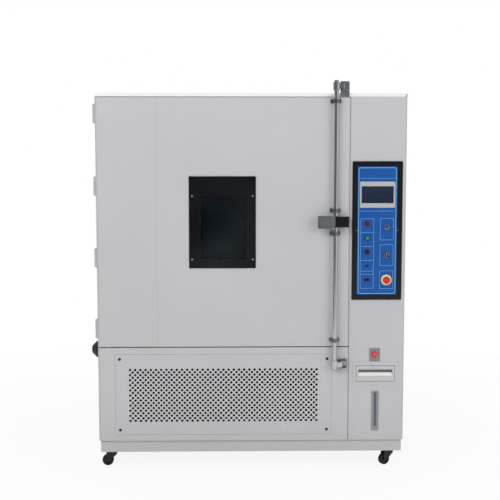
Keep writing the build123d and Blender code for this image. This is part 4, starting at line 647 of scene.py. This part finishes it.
def screw_head(name, radius, height, reach):
    angles = [2 * pi * n / SCREW_RING for n in range(SCREW_RING)]
    rings = []
    for out, up in HEAD_PROFILE:
        rings.append([(radius * out * cos(a), radius * out * sin(a), height * up) for a in angles])
    for level in RECESS_LEVELS:
        outline = [reach(a, radius * RECESS_SIZE) for a in angles]
        rings.append([(r * cos(a), r * sin(a), height * level) for r, a in zip(outline, angles)])
    points = [p for ring in rings for p in ring]
    faces = [tuple(reversed(range(SCREW_RING)))]
    for level in range(len(rings) - 1):
        for n in range(SCREW_RING):
            a, b = level * SCREW_RING + n, level * SCREW_RING + (n + 1) % SCREW_RING
            faces.append((a, b, b + SCREW_RING, a + SCREW_RING))
    last = (len(rings) - 1) * SCREW_RING
    faces.append(tuple(range(last, last + SCREW_RING)))
    mesh = bpy.data.meshes.new(name)
    mesh.from_pydata(points, [], faces)
    head = bpy.data.objects.new(name, mesh)
    smooth_by_angle(head)
    return head


def make_screw_set():
    inputs = [("Head", "NodeSocketObject"), ("Turn", VECTOR)]
    tree, known, entry, exit_node = start_geometry("screw_set", inputs)
    head = add_node(tree, "GeometryNodeObjectInfo")
    place = add_node(tree, "GeometryNodeInstanceOnPoints")
    wire(entry, "Head", head, "Object")
    wire(entry, "Points", place)
    wire(head, "Geometry", place, "Instance")
    wire(entry, "Turn", place, "Rotation")
    close_geometry(tree, entry, exit_node, place, "Instances")
    return tree, known


SCREWS = make_screw_set()
PAN_SCREW = screw_head("pan_screw", 0.0052, 0.0026, cross_reach)
SMALL_SCREW = screw_head("small_screw", 0.0036, 0.0018, cross_reach)
BLACK_BOLT = screw_head("black_bolt", 0.0078, 0.0030, hexagon_reach)
FACE_FRONT = (pi / 2, 0.0, 0.0)
FACE_BACK = (-pi / 2, 0.0, 0.0)
FACE_LEFT = (0.0, -pi / 2, 0.0)
FACE_RIGHT = (0.0, pi / 2, 0.0)


def add_screws(name, head, finish, points, turn=FACE_FRONT, body="cabinet"):
    screws = run_geometry(name, SCREWS, finish, points, Head=head, Turn=turn)
    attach(screws, body)
    print(name, len(points))


# %% [markdown]
# ## Where the screws sit
# The window plate is held by four bright screws, two at each side. The grille has a black bolt near each
# corner, and the control panel a small screw half-way up each side of its frame.

# %% Front screws
WINDOW_SCREW_INSET = 0.017
WINDOW_SCREW_OVER_FOOT = 0.050
WINDOW_SCREW_UNDER_TOP = 0.108
GRILLE_BOLT_INSET_X = 0.0245
GRILLE_BOLT_INSET_Z = 0.027
PANEL_SCREW_INSET = 0.004
PANEL_SCREW_LIFT = 0.004


def grid_places(across, y, upward):
    return [(x, y, z) for x in across for z in upward]


def add_front_screws():
    low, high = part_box("window_plate")
    across = (low.x + WINDOW_SCREW_INSET, high.x - WINDOW_SCREW_INSET)
    rows = (low.z + WINDOW_SCREW_OVER_FOOT, high.z - WINDOW_SCREW_UNDER_TOP)
    add_screws("window_screws", PAN_SCREW, "chrome", grid_places(across, low.y, rows), body="door")
    low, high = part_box("grille_panel")
    across = (low.x + GRILLE_BOLT_INSET_X, high.x - GRILLE_BOLT_INSET_X)
    rows = (low.z + GRILLE_BOLT_INSET_Z, high.z - GRILLE_BOLT_INSET_Z)
    add_screws("grille_bolts", BLACK_BOLT, "black_plastic", grid_places(across, FRONT, rows))
    low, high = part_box("panel_frame")
    across = (fascia_low.x + PANEL_SCREW_INSET, fascia_high.x - PANEL_SCREW_INSET)
    rows = [(low.z + high.z) / 2 + PANEL_SCREW_LIFT]
    add_screws("panel_screws", SMALL_SCREW, "chrome", grid_places(across, FASCIA_FACE, rows))


add_front_screws()

# %% [markdown]
# ## Finishes by place
# The fittings of the control fascia are one node: bezels, fault lamp, two sockets and the collar of the
# emergency stop. They differ in colour, so their material asks how far each point lies from the middle of a
# fitting, and lays that fitting's colour over the chrome of the bezels. A spot is a middle, a radius, a
# colour and how metallic it is. The key switch has one of its own.

# %% Fittings of the fascia
def middle_of(node):
    low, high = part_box(node)
    return (low + high) / 2


GREEN = middle_of("green_button")
RED = middle_of("red_button")
KEY = middle_of("key_switch")
ROTARY = middle_of("rotary_switch")
ESTOP = middle_of("estop_head")
SCREEN = middle_of("touchscreen")
DEVICE_PITCH = GREEN.z - RED.z
LAMP_Z = GREEN.z + DEVICE_PITCH
PORT_Z = RED.z - DEVICE_PITCH
SOCKET_Z = PORT_Z - DEVICE_PITCH


def make_spot_group():
    inputs = [("Vector", VECTOR, None), ("Middle", VECTOR, (0.0, 0.0, 0.0)), ("Radius", NUMBER, 0.01)]
    tree, entry, exit_node = start_group("spot", inputs, [("Mask", NUMBER)])
    flat = add_node(tree, "ShaderNodeVectorMath", operation="MULTIPLY")
    flat.inputs[1].default_value = (1.0, 0.0, 1.0)
    away = add_node(tree, "ShaderNodeVectorMath", operation="DISTANCE")
    inside = add_node(tree, "ShaderNodeMath", operation="LESS_THAN")
    wire(entry, "Vector", flat, 0)
    wire(flat, "Vector", away, 0)
    wire(entry, "Middle", away, 1)
    wire(away, "Value", inside, 0)
    wire(entry, "Radius", inside, 1)
    wire(inside, "Value", exit_node, "Mask")
    return tree


SPOT = make_spot_group()


def spotted_finish(name, base, metal, roughness, spots):
    tree, shader = start_material(name)
    set_inputs(shader, Roughness=roughness)
    noise = add_node(tree, "ShaderNodeTexNoise", Scale=700.0, Detail=2.0)
    link = tree.links.new
    use_place(noise)
    vary_gloss(noise, "Fac", shader, roughness - MOULD_GLOSS, roughness + MOULD_GLOSS)
    colour = None
    metallic = None
    for middle, radius, tone, spot_metal in spots:
        spot = use_group(tree, SPOT, Middle=(middle[0], 0.0, middle[1]), Radius=radius)
        tint = colour_mix(tree, "MIX", base, tone)
        blend = add_node(tree, "ShaderNodeMapRange", To_Min=metal, To_Max=spot_metal)
        use_place(spot)
        link(spot.outputs["Mask"], tint["Factor_Float"])
        wire(spot, "Mask", blend, "Value")
        if colour is not None:
            link(colour, tint["A_Color"])
            link(metallic, blend.inputs["To Min"])
        colour = tint["Result_Color"]
        metallic = blend.outputs["Result"]
    link(colour, shader.inputs["Base Color"])
    link(metallic, shader.inputs["Metallic"])


DARK_TRIM = (0.025, 0.02, 0.028)
LAMP_RED = (0.16, 0.004, 0.02)
GREEN_TRIM = (0.02, 0.035, 0.045)
PORT_BLACK = (0.02, 0.022, 0.05)
SOCKET_BLACK = (0.012, 0.014, 0.024)
COLLAR_YELLOW = (0.80, 0.70, 0.30)
FITTING_SPOTS = [
    ((GREEN.x, LAMP_Z), 0.020, DARK_TRIM, 0.0),
    ((GREEN.x, LAMP_Z), 0.0122, LAMP_RED, 0.0),
    ((GREEN.x, GREEN.z), 0.020, GREEN_TRIM, 0.0),
    ((RED.x, RED.z), 0.020, DARK_TRIM, 0.0),
    ((RED.x, PORT_Z), 0.030, PORT_BLACK, 0.0),
    ((RED.x, SOCKET_Z), 0.040, SOCKET_BLACK, 0.0),
    ((ESTOP.x, ESTOP.z), 0.040, COLLAR_YELLOW, 0.0),
]
KEY_SPOTS = [((KEY.x, KEY.z), 0.0115, (0.42, 0.43, 0.45), 1.0)]
spotted_finish("fascia_fittings", (0.6, 0.61, 0.63), 1.0, 0.2, FITTING_SPOTS)
spotted_finish("key_finish", (0.75, 0.76, 0.78), 1.0, 0.14, KEY_SPOTS)
dress("fascia_fittings", "fascia_fittings")
dress("key_switch", "key_finish")
print("fittings dressed")

# %% [markdown]
# ## Printed lines
# The fascia carries pale printed lines: a rounded border, a rule above and one below the screen, and cells
# round the devices. The titles between them are left out, so the cells are bare. A ring with round corners is
# built from two outlines, each a rounded rectangle, with a face between them and a thin edge all round. A
# cell on the right is given by its device and by how far it reaches above and below that.

# %% Rounded rings
PRINT_HEIGHT = 0.0003
LINE = 0.0019
LEAST_CORNER = 0.0001


def rounded_outline(middle, width, height, radius):
    points = []
    for quarter, (side_x, side_z) in enumerate(((1, 1), (-1, 1), (-1, -1), (1, -1))):
        centre_x = middle[0] + side_x * (width / 2 - radius)
        centre_z = middle[1] + side_z * (height / 2 - radius)
        for step in range(CORNER_STEPS + 1):
            angle = (quarter + step / CORNER_STEPS) * pi / 2
            points.append((centre_x + radius * cos(angle), centre_z + radius * sin(angle)))
    return points


def ring_faces(count, start):
    faces = []
    for n in range(count):
        after = (n + 1) % count
        for level in range(4):
            a = start + level * count
            b = start + (level + 1) % 4 * count
            faces.append((a + n, a + after, b + after, b + n))
    return faces


def add_rings(name, rings, finish, height=PRINT_HEIGHT):
    low, high = FASCIA_FACE, FASCIA_FACE - height
    points = []
    faces = []
    for middle, width, tall, radius, line in rings:
        outer = rounded_outline(middle, width, tall, radius)
        inner = rounded_outline(middle, width - 2 * line, tall - 2 * line, max(radius - line, LEAST_CORNER))
        start = len(points)
        for outline, y in ((outer, high), (outer, low), (inner, low), (inner, high)):
            points += [(x, y, z) for x, z in outline]
        faces += ring_faces(len(outer), start)
    add_mesh(name, points, faces, finish, "cabinet")


def add_mesh(name, points, faces, finish, body):
    mesh = bpy.data.meshes.new(name)
    mesh.from_pydata(points, [], faces)
    piece = add_object(name, mesh)
    mesh.materials.append(FINISH[finish])
    face_outwards(piece)
    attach(piece, body)
    print(name, len(mesh.polygons), "faces")


def add_bars(name, boxes, finish, body="cabinet"):
    points = []
    faces = []
    for low, high in boxes:
        n = len(points)
        points += [(x, y, z) for z in (low[2], high[2]) for y in (low[1], high[1]) for x in (low[0], high[0])]
        sides = ((0, 2, 3, 1), (4, 5, 7, 6), (0, 1, 5, 4), (2, 6, 7, 3), (0, 4, 6, 2), (1, 3, 7, 5))
        faces += [tuple(n + corner for corner in side) for side in sides]
    add_mesh(name, points, faces, finish, body)


# %% Prints on the fascia
BORDER_INSET = 0.011
BORDER_CORNER = 0.012
BORDER_LINE = 0.0038
CELL_WIDTH = 0.075
CELL_CORNER = 0.003
CELL_ABOVE = 0.030
CELL_BELOW = 0.049
RIGHT_CELLS = ((KEY, 0.049, 0.072), (ROTARY, 0.057, 0.062), (ESTOP, 0.051, 0.050))
SCREEN_RULE_GAP = 0.018
SCREEN_RULE_LEFT = 0.096
SCREEN_RULE_RIGHT = 0.095


def rule(left, right, z):
    return (left, FASCIA_FACE - PRINT_HEIGHT, z - LINE / 2), (right, FASCIA_FACE, z + LINE / 2)


def add_fascia_prints():
    top = LAMP_Z + CELL_ABOVE
    foot = SOCKET_Z - CELL_BELOW
    width = FASCIA_WIDTH - 2 * BORDER_INSET
    tall = FASCIA_TALL - 2 * BORDER_INSET
    rings = [
        (FASCIA_MIDDLE, width, tall, BORDER_CORNER, BORDER_LINE),
        ((GREEN.x, (top + foot) / 2), CELL_WIDTH, top - foot, CELL_CORNER, LINE),
    ]
    for place, above, below in RIGHT_CELLS:
        middle = (ESTOP.x, place.z + (above - below) / 2)
        rings.append((middle, CELL_WIDTH, above + below, CELL_CORNER, LINE))
    add_rings("fascia_frames", rings, "blue_print")
    left, right = GREEN.x - CELL_WIDTH / 2, GREEN.x + CELL_WIDTH / 2
    rules = [rule(left, right, z + CELL_ABOVE) for z in (GREEN.z, RED.z, PORT_Z, SOCKET_Z)]
    rules.append(rule(left, right, PORT_Z - CELL_ABOVE))
    screen_low, screen_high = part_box("touchscreen")
    for z in (screen_high.z + SCREEN_RULE_GAP, screen_low.z - SCREEN_RULE_GAP):
        rules.append(rule(COLUMN_X - SCREEN_RULE_LEFT, COLUMN_X + SCREEN_RULE_RIGHT, z))
    add_bars("fascia_rules", rules, "blue_print")


add_fascia_prints()

# %% [markdown]
# ## Touchscreen
# The screen is switched off: a dark blue pane that sits just behind the face of its bezel.

# %% Screen pane
PANE_HALF_WIDTH = 0.089
PANE_HALF_HEIGHT = 0.047
PANE_FRONT = 0.0004
PANE_BACK = 0.0014


def add_screen_pane():
    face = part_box("touchscreen")[0].y
    low = (COLUMN_X - PANE_HALF_WIDTH, face + PANE_FRONT, SCREEN.z - PANE_HALF_HEIGHT)
    high = (COLUMN_X + PANE_HALF_WIDTH, face + PANE_BACK, SCREEN.z + PANE_HALF_HEIGHT)
    add_bars("screen_pane", [(low, high)], "screen_glass")


add_screen_pane()

# %% [markdown]
# ## Joints in the sheet metal, and a painted highlight
# Shallow painted returns close the gaps above and beside the door, and the one below it beside the column, so
# that they read as soft lines and not as black slots. The door skin is made of two sheets, and a fine line
# shows where they meet. A thin strip painted brighter along the front edge of the top cover is a painted
# highlight, for the light that the edge catches from above.

# %% Sheet joints
RETURN_NEAR = 0.006
RETURN_FAR = 0.012
RETURN_SHARE = 0.9
UNDER_DOOR = 0.007
SEAM_FROM_LEFT = 0.334
SEAM_WIDTH = 0.0014
SEAM_INSET = 0.004
SEAM_PROUD = 0.0002
SEAM_DEEP = 0.0004
HIGHLIGHT_PROUD = 0.0006
HIGHLIGHT_LEFT = 0.001
HIGHLIGHT_RIGHT = 0.012
HIGHLIGHT_FOOT = 0.0015
HIGHLIGHT_TOP = 0.002


def add_sheet_joints():
    near, far = FRONT + RETURN_NEAR, FRONT + RETURN_FAR
    right = column_low.x
    gap = right - door_high.x
    left = right - RETURN_SHARE * gap
    beside = (left, near, door_low.z), (right, far, door_high.z)
    above = (door_low.x, near, door_high.z + (1 - RETURN_SHARE) * gap), (right, far, door_high.z + gap)
    below = (left, near, BODY_FOOT), (right, far, door_low.z - UNDER_DOOR)
    add_bars("door_gap_returns", [beside, above, below], "cabinet_paint")
    seam_x = LEFT + SEAM_FROM_LEFT
    seam_low = (seam_x, FRONT - SEAM_PROUD, door_low.z + SEAM_INSET)
    seam_high = (seam_x + SEAM_WIDTH, FRONT + SEAM_DEEP, door_high.z - SEAM_INSET)
    add_bars("door_sheet_joint", [(seam_low, seam_high)], "joint_paint", body="door")
    # A thin bright strip along the top cover's front edge: a painted highlight for the light the edge catches
    # from above.
    highlight_low = (LEFT + HIGHLIGHT_LEFT, FRONT - HIGHLIGHT_PROUD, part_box("top_cover")[0].z + HIGHLIGHT_FOOT)
    highlight_high = (RIGHT - HIGHLIGHT_RIGHT, FRONT, BODY_TOP - HIGHLIGHT_TOP)
    add_bars("cover_front_edge", [(highlight_low, highlight_high)], "highlight_paint")


add_sheet_joints()

# %% [markdown]
# ## Black margin, water in the gauge, and painted light in the drawer's scoop
# The blue sheet doesn't reach the frame: a black margin runs round it. The gauge's slot shows a dark blue
# column of water. In the drawer's scoop, a pale inclined strip is a painted highlight where the curved lower
# half catches the light, and a dark strip above it is painted shade in the upper half. Their places are a
# depth behind the drawer's front and a height over the middle of the scoop.

# %% Margin, gauge, and painted highlight and shade in the drawer's scoop
MARGIN_CORNER = 0.001
MARGIN_WIDTH = 0.0055
MARGIN_HEIGHT = 0.0008
WATER_HALF_WIDTH = 0.0052
WATER_OVER_FOOT = 0.024
WATER_UNDER_TOP = 0.008
WATER_PROUD = 0.0005
SCOOP_INSET = 0.0125
SCOOP_UNDER_TOP = 0.03875
LIP_HIGHLIGHT_NEAR = (0.0004, -0.0168)
LIP_HIGHLIGHT_FAR = (0.0115, -0.001)
LIP_HIGHLIGHT_THICK = 0.0012
SLOT_SHADE_NEAR = (0.0085, 0.001)
SLOT_SHADE_FAR = (0.0095, 0.0125)


def add_fascia_margin():
    margin = (FASCIA_MIDDLE, FASCIA_WIDTH, FASCIA_TALL, MARGIN_CORNER, MARGIN_WIDTH)
    add_rings("fascia_margin", [margin], "frame_black", MARGIN_HEIGHT)


def add_gauge_water():
    low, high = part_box("level_gauge")
    water_low = (COLUMN_X - WATER_HALF_WIDTH, low.y - WATER_PROUD, low.z + WATER_OVER_FOOT)
    water_high = (COLUMN_X + WATER_HALF_WIDTH, low.y, high.z - WATER_UNDER_TOP)
    add_bars("gauge_water", [(water_low, water_high)], "gauge_blue")


def add_slope(name, left, right, near, far, thick, finish, body):
    (near_y, near_z), (far_y, far_z) = near, far
    section = ((near_y, near_z), (far_y, far_z), (far_y, far_z - thick), (near_y, near_z - thick))
    points = [(x, y, z) for x in (left, right) for y, z in section]
    faces = [(0, 1, 2, 3), (4, 5, 6, 7)] + [(n, (n + 1) % 4, (n + 1) % 4 + 4, n + 4) for n in range(4)]
    add_mesh(name, points, faces, finish, body)


def add_drawer_highlight_and_shade():
    low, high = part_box("water_drawer")
    left, right = low.x + SCOOP_INSET, high.x - SCOOP_INSET
    middle = high.z - SCOOP_UNDER_TOP
    places = [(low.y + depth, middle + rise) for depth, rise in (LIP_HIGHLIGHT_NEAR, LIP_HIGHLIGHT_FAR, SLOT_SHADE_NEAR, SLOT_SHADE_FAR)]
    # A pale inclined strip, a painted highlight on the lit lower half of the scoop, and above it a dark
    # strip, painted shade in the upper half.
    add_slope("drawer_lip", left, right, places[0], places[1], LIP_HIGHLIGHT_THICK, "highlight_paint", "water_drawer")
    add_bars("drawer_shade", [((left, *places[2]), (right, *places[3]))], "painted_shade_grey", body="water_drawer")


add_fascia_margin()
add_gauge_water()
add_drawer_highlight_and_shade()

# %% [markdown]
# ## Scales and pointers
# The over-temperature dial has a ring of pale marks, the rotary switch a pale pointer, and the level gauge a
# scale along its slot. For the dial, a tree sets small bars along an arc, each turned towards its middle.

# %% Scale marks
def make_dial_marks():
    inputs = [("Radius", NUMBER), ("Count", WHOLE), ("Start", NUMBER), ("Sweep", NUMBER)]
    inputs += [("Mark", VECTOR), ("Middle", VECTOR)]
    tree, known, entry, exit_node = start_geometry("dial_marks", inputs)
    arc = add_node(tree, "GeometryNodeCurveArc", Resolution=64)
    along = add_node(tree, "GeometryNodeCurveToPoints", mode="COUNT")
    bar = add_node(tree, "GeometryNodeMeshCube")
    turned = add_node(tree, "GeometryNodeTransform", Rotation=(0.0, 0.0, pi / 2))
    place = add_node(tree, "GeometryNodeInstanceOnPoints")
    stand = add_node(tree, "GeometryNodeTransform", Rotation=(pi / 2, 0.0, 0.0))
    wire(entry, "Radius", arc)
    wire(entry, "Start", arc, "Start Angle")
    wire(entry, "Sweep", arc, "Sweep Angle")
    wire(arc, "Curve", along)
    wire(entry, "Count", along)
    wire(entry, "Mark", bar, "Size")
    wire(bar, "Mesh", turned, "Geometry")
    wire(turned, "Geometry", place, "Instance")
    wire(along, "Points", place)
    turn = add_node(tree, "FunctionNodeAlignRotationToVector", axis="X")
    wire(along, "Tangent", turn, "Vector")
    wire(turn, "Rotation", place)
    wire(place, "Instances", stand, "Geometry")
    wire(entry, "Middle", stand, "Translation")
    close_geometry(tree, entry, exit_node, stand, "Geometry")
    return tree, known


DIAL_MARKS = make_dial_marks()
MARK_PROUD = 0.0002
POINTER_LENGTH = 0.0105
POINTER_HALF_WIDTH = 0.0011
POINTER_THICK = 0.0006
POINTER_TURN = -0.6
SCALE_COUNT = 13
SCALE_OVER_FOOT = 0.028
SCALE_BOTH_ENDS = 0.062
SCALE_FROM_MIDDLE = 0.009
SCALE_LINE = 0.0009
LONG_MARK = 0.010
SHORT_MARK = 0.006


def add_dial_marks():
    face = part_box("overtemp_dial")[0].y - MARK_PROUD
    middle = middle_of("overtemp_dial")
    marks = run_geometry(
        "overtemp_marks",
        DIAL_MARKS,
        "white_print",
        Radius=0.0092,
        Count=7,
        Start=radians(-30),
        Sweep=radians(240),
        Mark=(0.0042, 0.0015, 0.0006),
        Middle=(middle.x, face, middle.z),
    )
    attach(marks, "overtemp_dial")
    print("dial marks", len(marks.data.polygons))


def add_pointer():
    middle = Vector((ROTARY.x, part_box("rotary_switch")[0].y - MARK_PROUD, ROTARY.z))
    tip = Vector((sin(POINTER_TURN), 0, cos(POINTER_TURN))) * POINTER_LENGTH
    across = Vector((cos(POINTER_TURN), 0, -sin(POINTER_TURN))) * POINTER_HALF_WIDTH
    outline = [middle + across, middle - across, middle + tip - across, middle + tip + across]
    depth = Vector((0, POINTER_THICK, 0))
    points = [tuple(p) for p in outline] + [tuple(p + depth) for p in outline]
    faces = [(0, 1, 2, 3), (4, 5, 6, 7), (0, 1, 5, 4), (1, 2, 6, 5), (2, 3, 7, 6), (3, 0, 4, 7)]
    add_mesh("rotary_pointer", points, faces, "white_print", "rotary_switch")


def add_gauge_scale():
    low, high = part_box("level_gauge")
    step = (high.z - low.z - SCALE_BOTH_ENDS) / (SCALE_COUNT - 1)
    left = COLUMN_X + SCALE_FROM_MIDDLE
    marks = []
    for n in range(SCALE_COUNT):
        z = low.z + SCALE_OVER_FOOT + n * step
        right = left + (LONG_MARK if n % 3 == 0 else SHORT_MARK)
        marks.append(((left, low.y - PRINT_HEIGHT, z), (right, low.y, z + SCALE_LINE)))
    add_bars("gauge_scale", marks, "black_plastic")


add_dial_marks()
add_pointer()
add_gauge_scale()

# %% [markdown]
# ## Screws of the covers
# The side panels are screwed on along their front and rear edges, and the rear panel also along its middle,
# all with pan-head screws that the same tree sets.

# %% Cover screws
SIDE_SCREW_INSET_Y = 0.03
SIDE_SCREW_INSET_Z = 0.05
SIDE_SCREW_ROWS = 6
REAR_SCREW_INSET_X = 0.02
REAR_SCREW_INSET_Z = 0.04
REAR_SCREW_ROWS = 7
REAR_MIDDLE_SHIFT = 0.13


def spaced(low, high, count):
    return [low + n * (high - low) / (count - 1) for n in range(count)]


def add_cover_screws():
    for name, x, turn in (("side_panel_left", LEFT, FACE_LEFT), ("side_panel_right", RIGHT, FACE_RIGHT)):
        low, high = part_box(name)
        rows = spaced(low.z + SIDE_SCREW_INSET_Z, high.z - SIDE_SCREW_INSET_Z, SIDE_SCREW_ROWS)
        edges = (low.y + SIDE_SCREW_INSET_Y, high.y - SIDE_SCREW_INSET_Y)
        places = [(x, y, z) for y in edges for z in rows]
        add_screws(name + "_screws", PAN_SCREW, "zinc_plate", places, turn)
    low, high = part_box("rear_panel")
    across = (LEFT + REAR_SCREW_INSET_X, COLUMN_X - REAR_MIDDLE_SHIFT, RIGHT - REAR_SCREW_INSET_X)
    rows = spaced(low.z + REAR_SCREW_INSET_Z, high.z - REAR_SCREW_INSET_Z, REAR_SCREW_ROWS)
    add_screws("rear_screws", PAN_SCREW, "zinc_plate", grid_places(across, BODY_REAR, rows), FACE_BACK)


add_cover_screws()

# %% [markdown]
# ## Floor, backdrop and light
# The photograph shows the chamber cut out on white. A pale floor keeps a soft shadow, and it blends into pure
# white with distance. The world is pure white only where the camera looks at it, straight or through glass.
# It lights the paint with about half of that, and what mirrors it sees it darker still.

# %% Floor
FLOOR_SIZE = 30.0
FADE_START = 1.2
FADE_END = 3.5
FADE_LEAST = 0.9


def make_floor_finish():
    tree, shader = start_material("studio_floor")
    set_inputs(shader, Base_Color=(0.82, 0.82, 0.82, 1), Roughness=0.9)
    white = add_node(tree, "ShaderNodeEmission", Color=(1, 1, 1, 1), Strength=1.0)
    path = add_node(tree, "ShaderNodeLightPath")
    seen = add_node(tree, "ShaderNodeMath", operation="MAXIMUM")
    distance = add_node(tree, "ShaderNodeVectorMath", operation="LENGTH")
    fade = add_node(tree, "ShaderNodeMapRange", From_Min=FADE_START, From_Max=FADE_END, To_Min=FADE_LEAST)
    share = add_node(tree, "ShaderNodeMath", operation="MULTIPLY")
    mix = add_node(tree, "ShaderNodeMixShader")
    use_place(distance, 0)
    wire(distance, "Value", fade)
    wire(path, "Is Camera Ray", seen, 0)
    wire(path, "Is Transmission Ray", seen, 1)
    wire(seen, "Value", share, 0)
    wire(fade, "Result", share, 1)
    wire(share, "Value", mix, "Fac")
    wire(shader, "BSDF", mix, 1)
    wire(white, "Emission", mix, 2)
    wire(mix, "Shader", tree.nodes["Material Output"], "Surface")


def add_floor():
    make_floor_finish()
    mesh = bpy.data.meshes.new("studio_floor")
    half = FLOOR_SIZE / 2
    corners = [(-half, -half, 0), (half, -half, 0), (half, half, 0), (-half, half, 0)]
    mesh.from_pydata(corners, [], [(0, 1, 2, 3)])
    mesh.materials.append(FINISH["studio_floor"])
    add_object("studio_floor", mesh)


add_floor()

# %% [markdown]
# Four lamps stand round the chamber, each with its place, its size and its power. All point at the middle of
# the body.

# %% World and lamps
WORLD_LIGHT = 0.55
WORLD_MIRRORED = 0.38
LAMPS = {
    "key": ((-2.2, -4.6, 4.0), (3.2, 2.4), 112),
    "fill": ((3.4, -4.2, 2.6), (2.6, 2.6), 60),
    "overhead": ((0.0, 0.4, 4.6), (4.0, 3.0), 42),
    "back": ((0.0, 5.0, 3.2), (3.5, 2.5), 60),
}
LAMP_TARGET = Vector((0.0, 0.0, 1.05))


def add_world():
    world = bpy.data.worlds.new("studio_world")
    world.use_nodes = True
    tree = world.node_tree
    background = tree.nodes["Background"]
    path = add_node(tree, "ShaderNodeLightPath")
    bright = add_node(tree, "ShaderNodeMath", operation="MAXIMUM")
    strength = add_node(tree, "ShaderNodeMapRange", To_Max=1.0)
    ambient = add_node(tree, "ShaderNodeMapRange", To_Min=WORLD_LIGHT, To_Max=WORLD_MIRRORED)
    wire(path, "Is Glossy Ray", ambient, "Value")
    wire(ambient, "Result", strength, "To Min")
    wire(path, "Is Camera Ray", bright, 0)
    wire(path, "Is Transmission Ray", bright, 1)
    wire(bright, "Value", strength)
    wire(strength, "Result", background, "Strength")
    background.inputs["Color"].default_value = (1, 1, 1, 1)
    bpy.context.scene.world = world


def add_lamps():
    for name, (place, size, power) in LAMPS.items():
        data = bpy.data.lights.new(name, "AREA")
        data.shape = "RECTANGLE"
        data.size, data.size_y = size
        data.energy = power
        lamp = add_object(name, data)
        lamp.location = place
        lamp.rotation_euler = (LAMP_TARGET - Vector(place)).to_track_quat("-Z", "Y").to_euler()
        lamp.visible_glossy = False
    print("lamps", len(LAMPS))


# %% [markdown]
# Chrome and glass show what stands round them. Three cards that only mirrored rays can see give them a room:
# a mottled dark one behind the camera, a dark one on the left and a bright one on the right.

# %% Cards for the reflections
CARDS = {
    "behind_camera": ((-4.5, -10.0, -1.0), (9.0, 0.0, 0.0), (0.0, 0.0, 4.6), (0.01, 0.30), 1.1),
    "left_side": ((-4.0, -9.0, 0.0), (0.0, 8.6, 0.0), (0.0, 0.0, 3.4), (0.10, 0.22), 0.6),
    "right_side": ((4.0, -7.0, 0.0), (0.0, 6.0, 0.0), (0.0, 0.0, 3.4), (0.75, 0.85), 0.6),
}


def make_card_finish(name, shades, scale):
    tree, shader = start_material(name)
    tree.nodes.remove(shader)
    noise = add_node(tree, "ShaderNodeTexNoise", Scale=scale, Detail=3.0)
    shade = add_node(tree, "ShaderNodeMapRange", From_Min=0.36, From_Max=0.62)
    set_inputs(shade, To_Min=shades[0], To_Max=shades[1])
    glow = add_node(tree, "ShaderNodeEmission", Color=(0.93, 0.98, 1.0, 1))
    use_place(noise)
    wire(noise, "Fac", shade, "Value")
    wire(shade, "Result", glow, "Strength")
    wire(glow, "Emission", tree.nodes["Material Output"], "Surface")


def add_cards():
    for name, (corner, along, up, shades, scale) in CARDS.items():
        start, side, rise = Vector(corner), Vector(along), Vector(up)
        mesh = bpy.data.meshes.new(name)
        mesh.from_pydata([start, start + side, start + side + rise, start + rise], [], [(0, 1, 2, 3)])
        make_card_finish(name, shades, scale)
        mesh.materials.append(FINISH[name])
        card = add_object(name, mesh)
        card.visible_camera = False
        card.visible_diffuse = False
        card.visible_transmission = False
        card.visible_shadow = False
    print("cards", len(CARDS))


add_world()
add_lamps()
add_cards()
bpy.context.scene.view_settings.view_transform = "Standard"
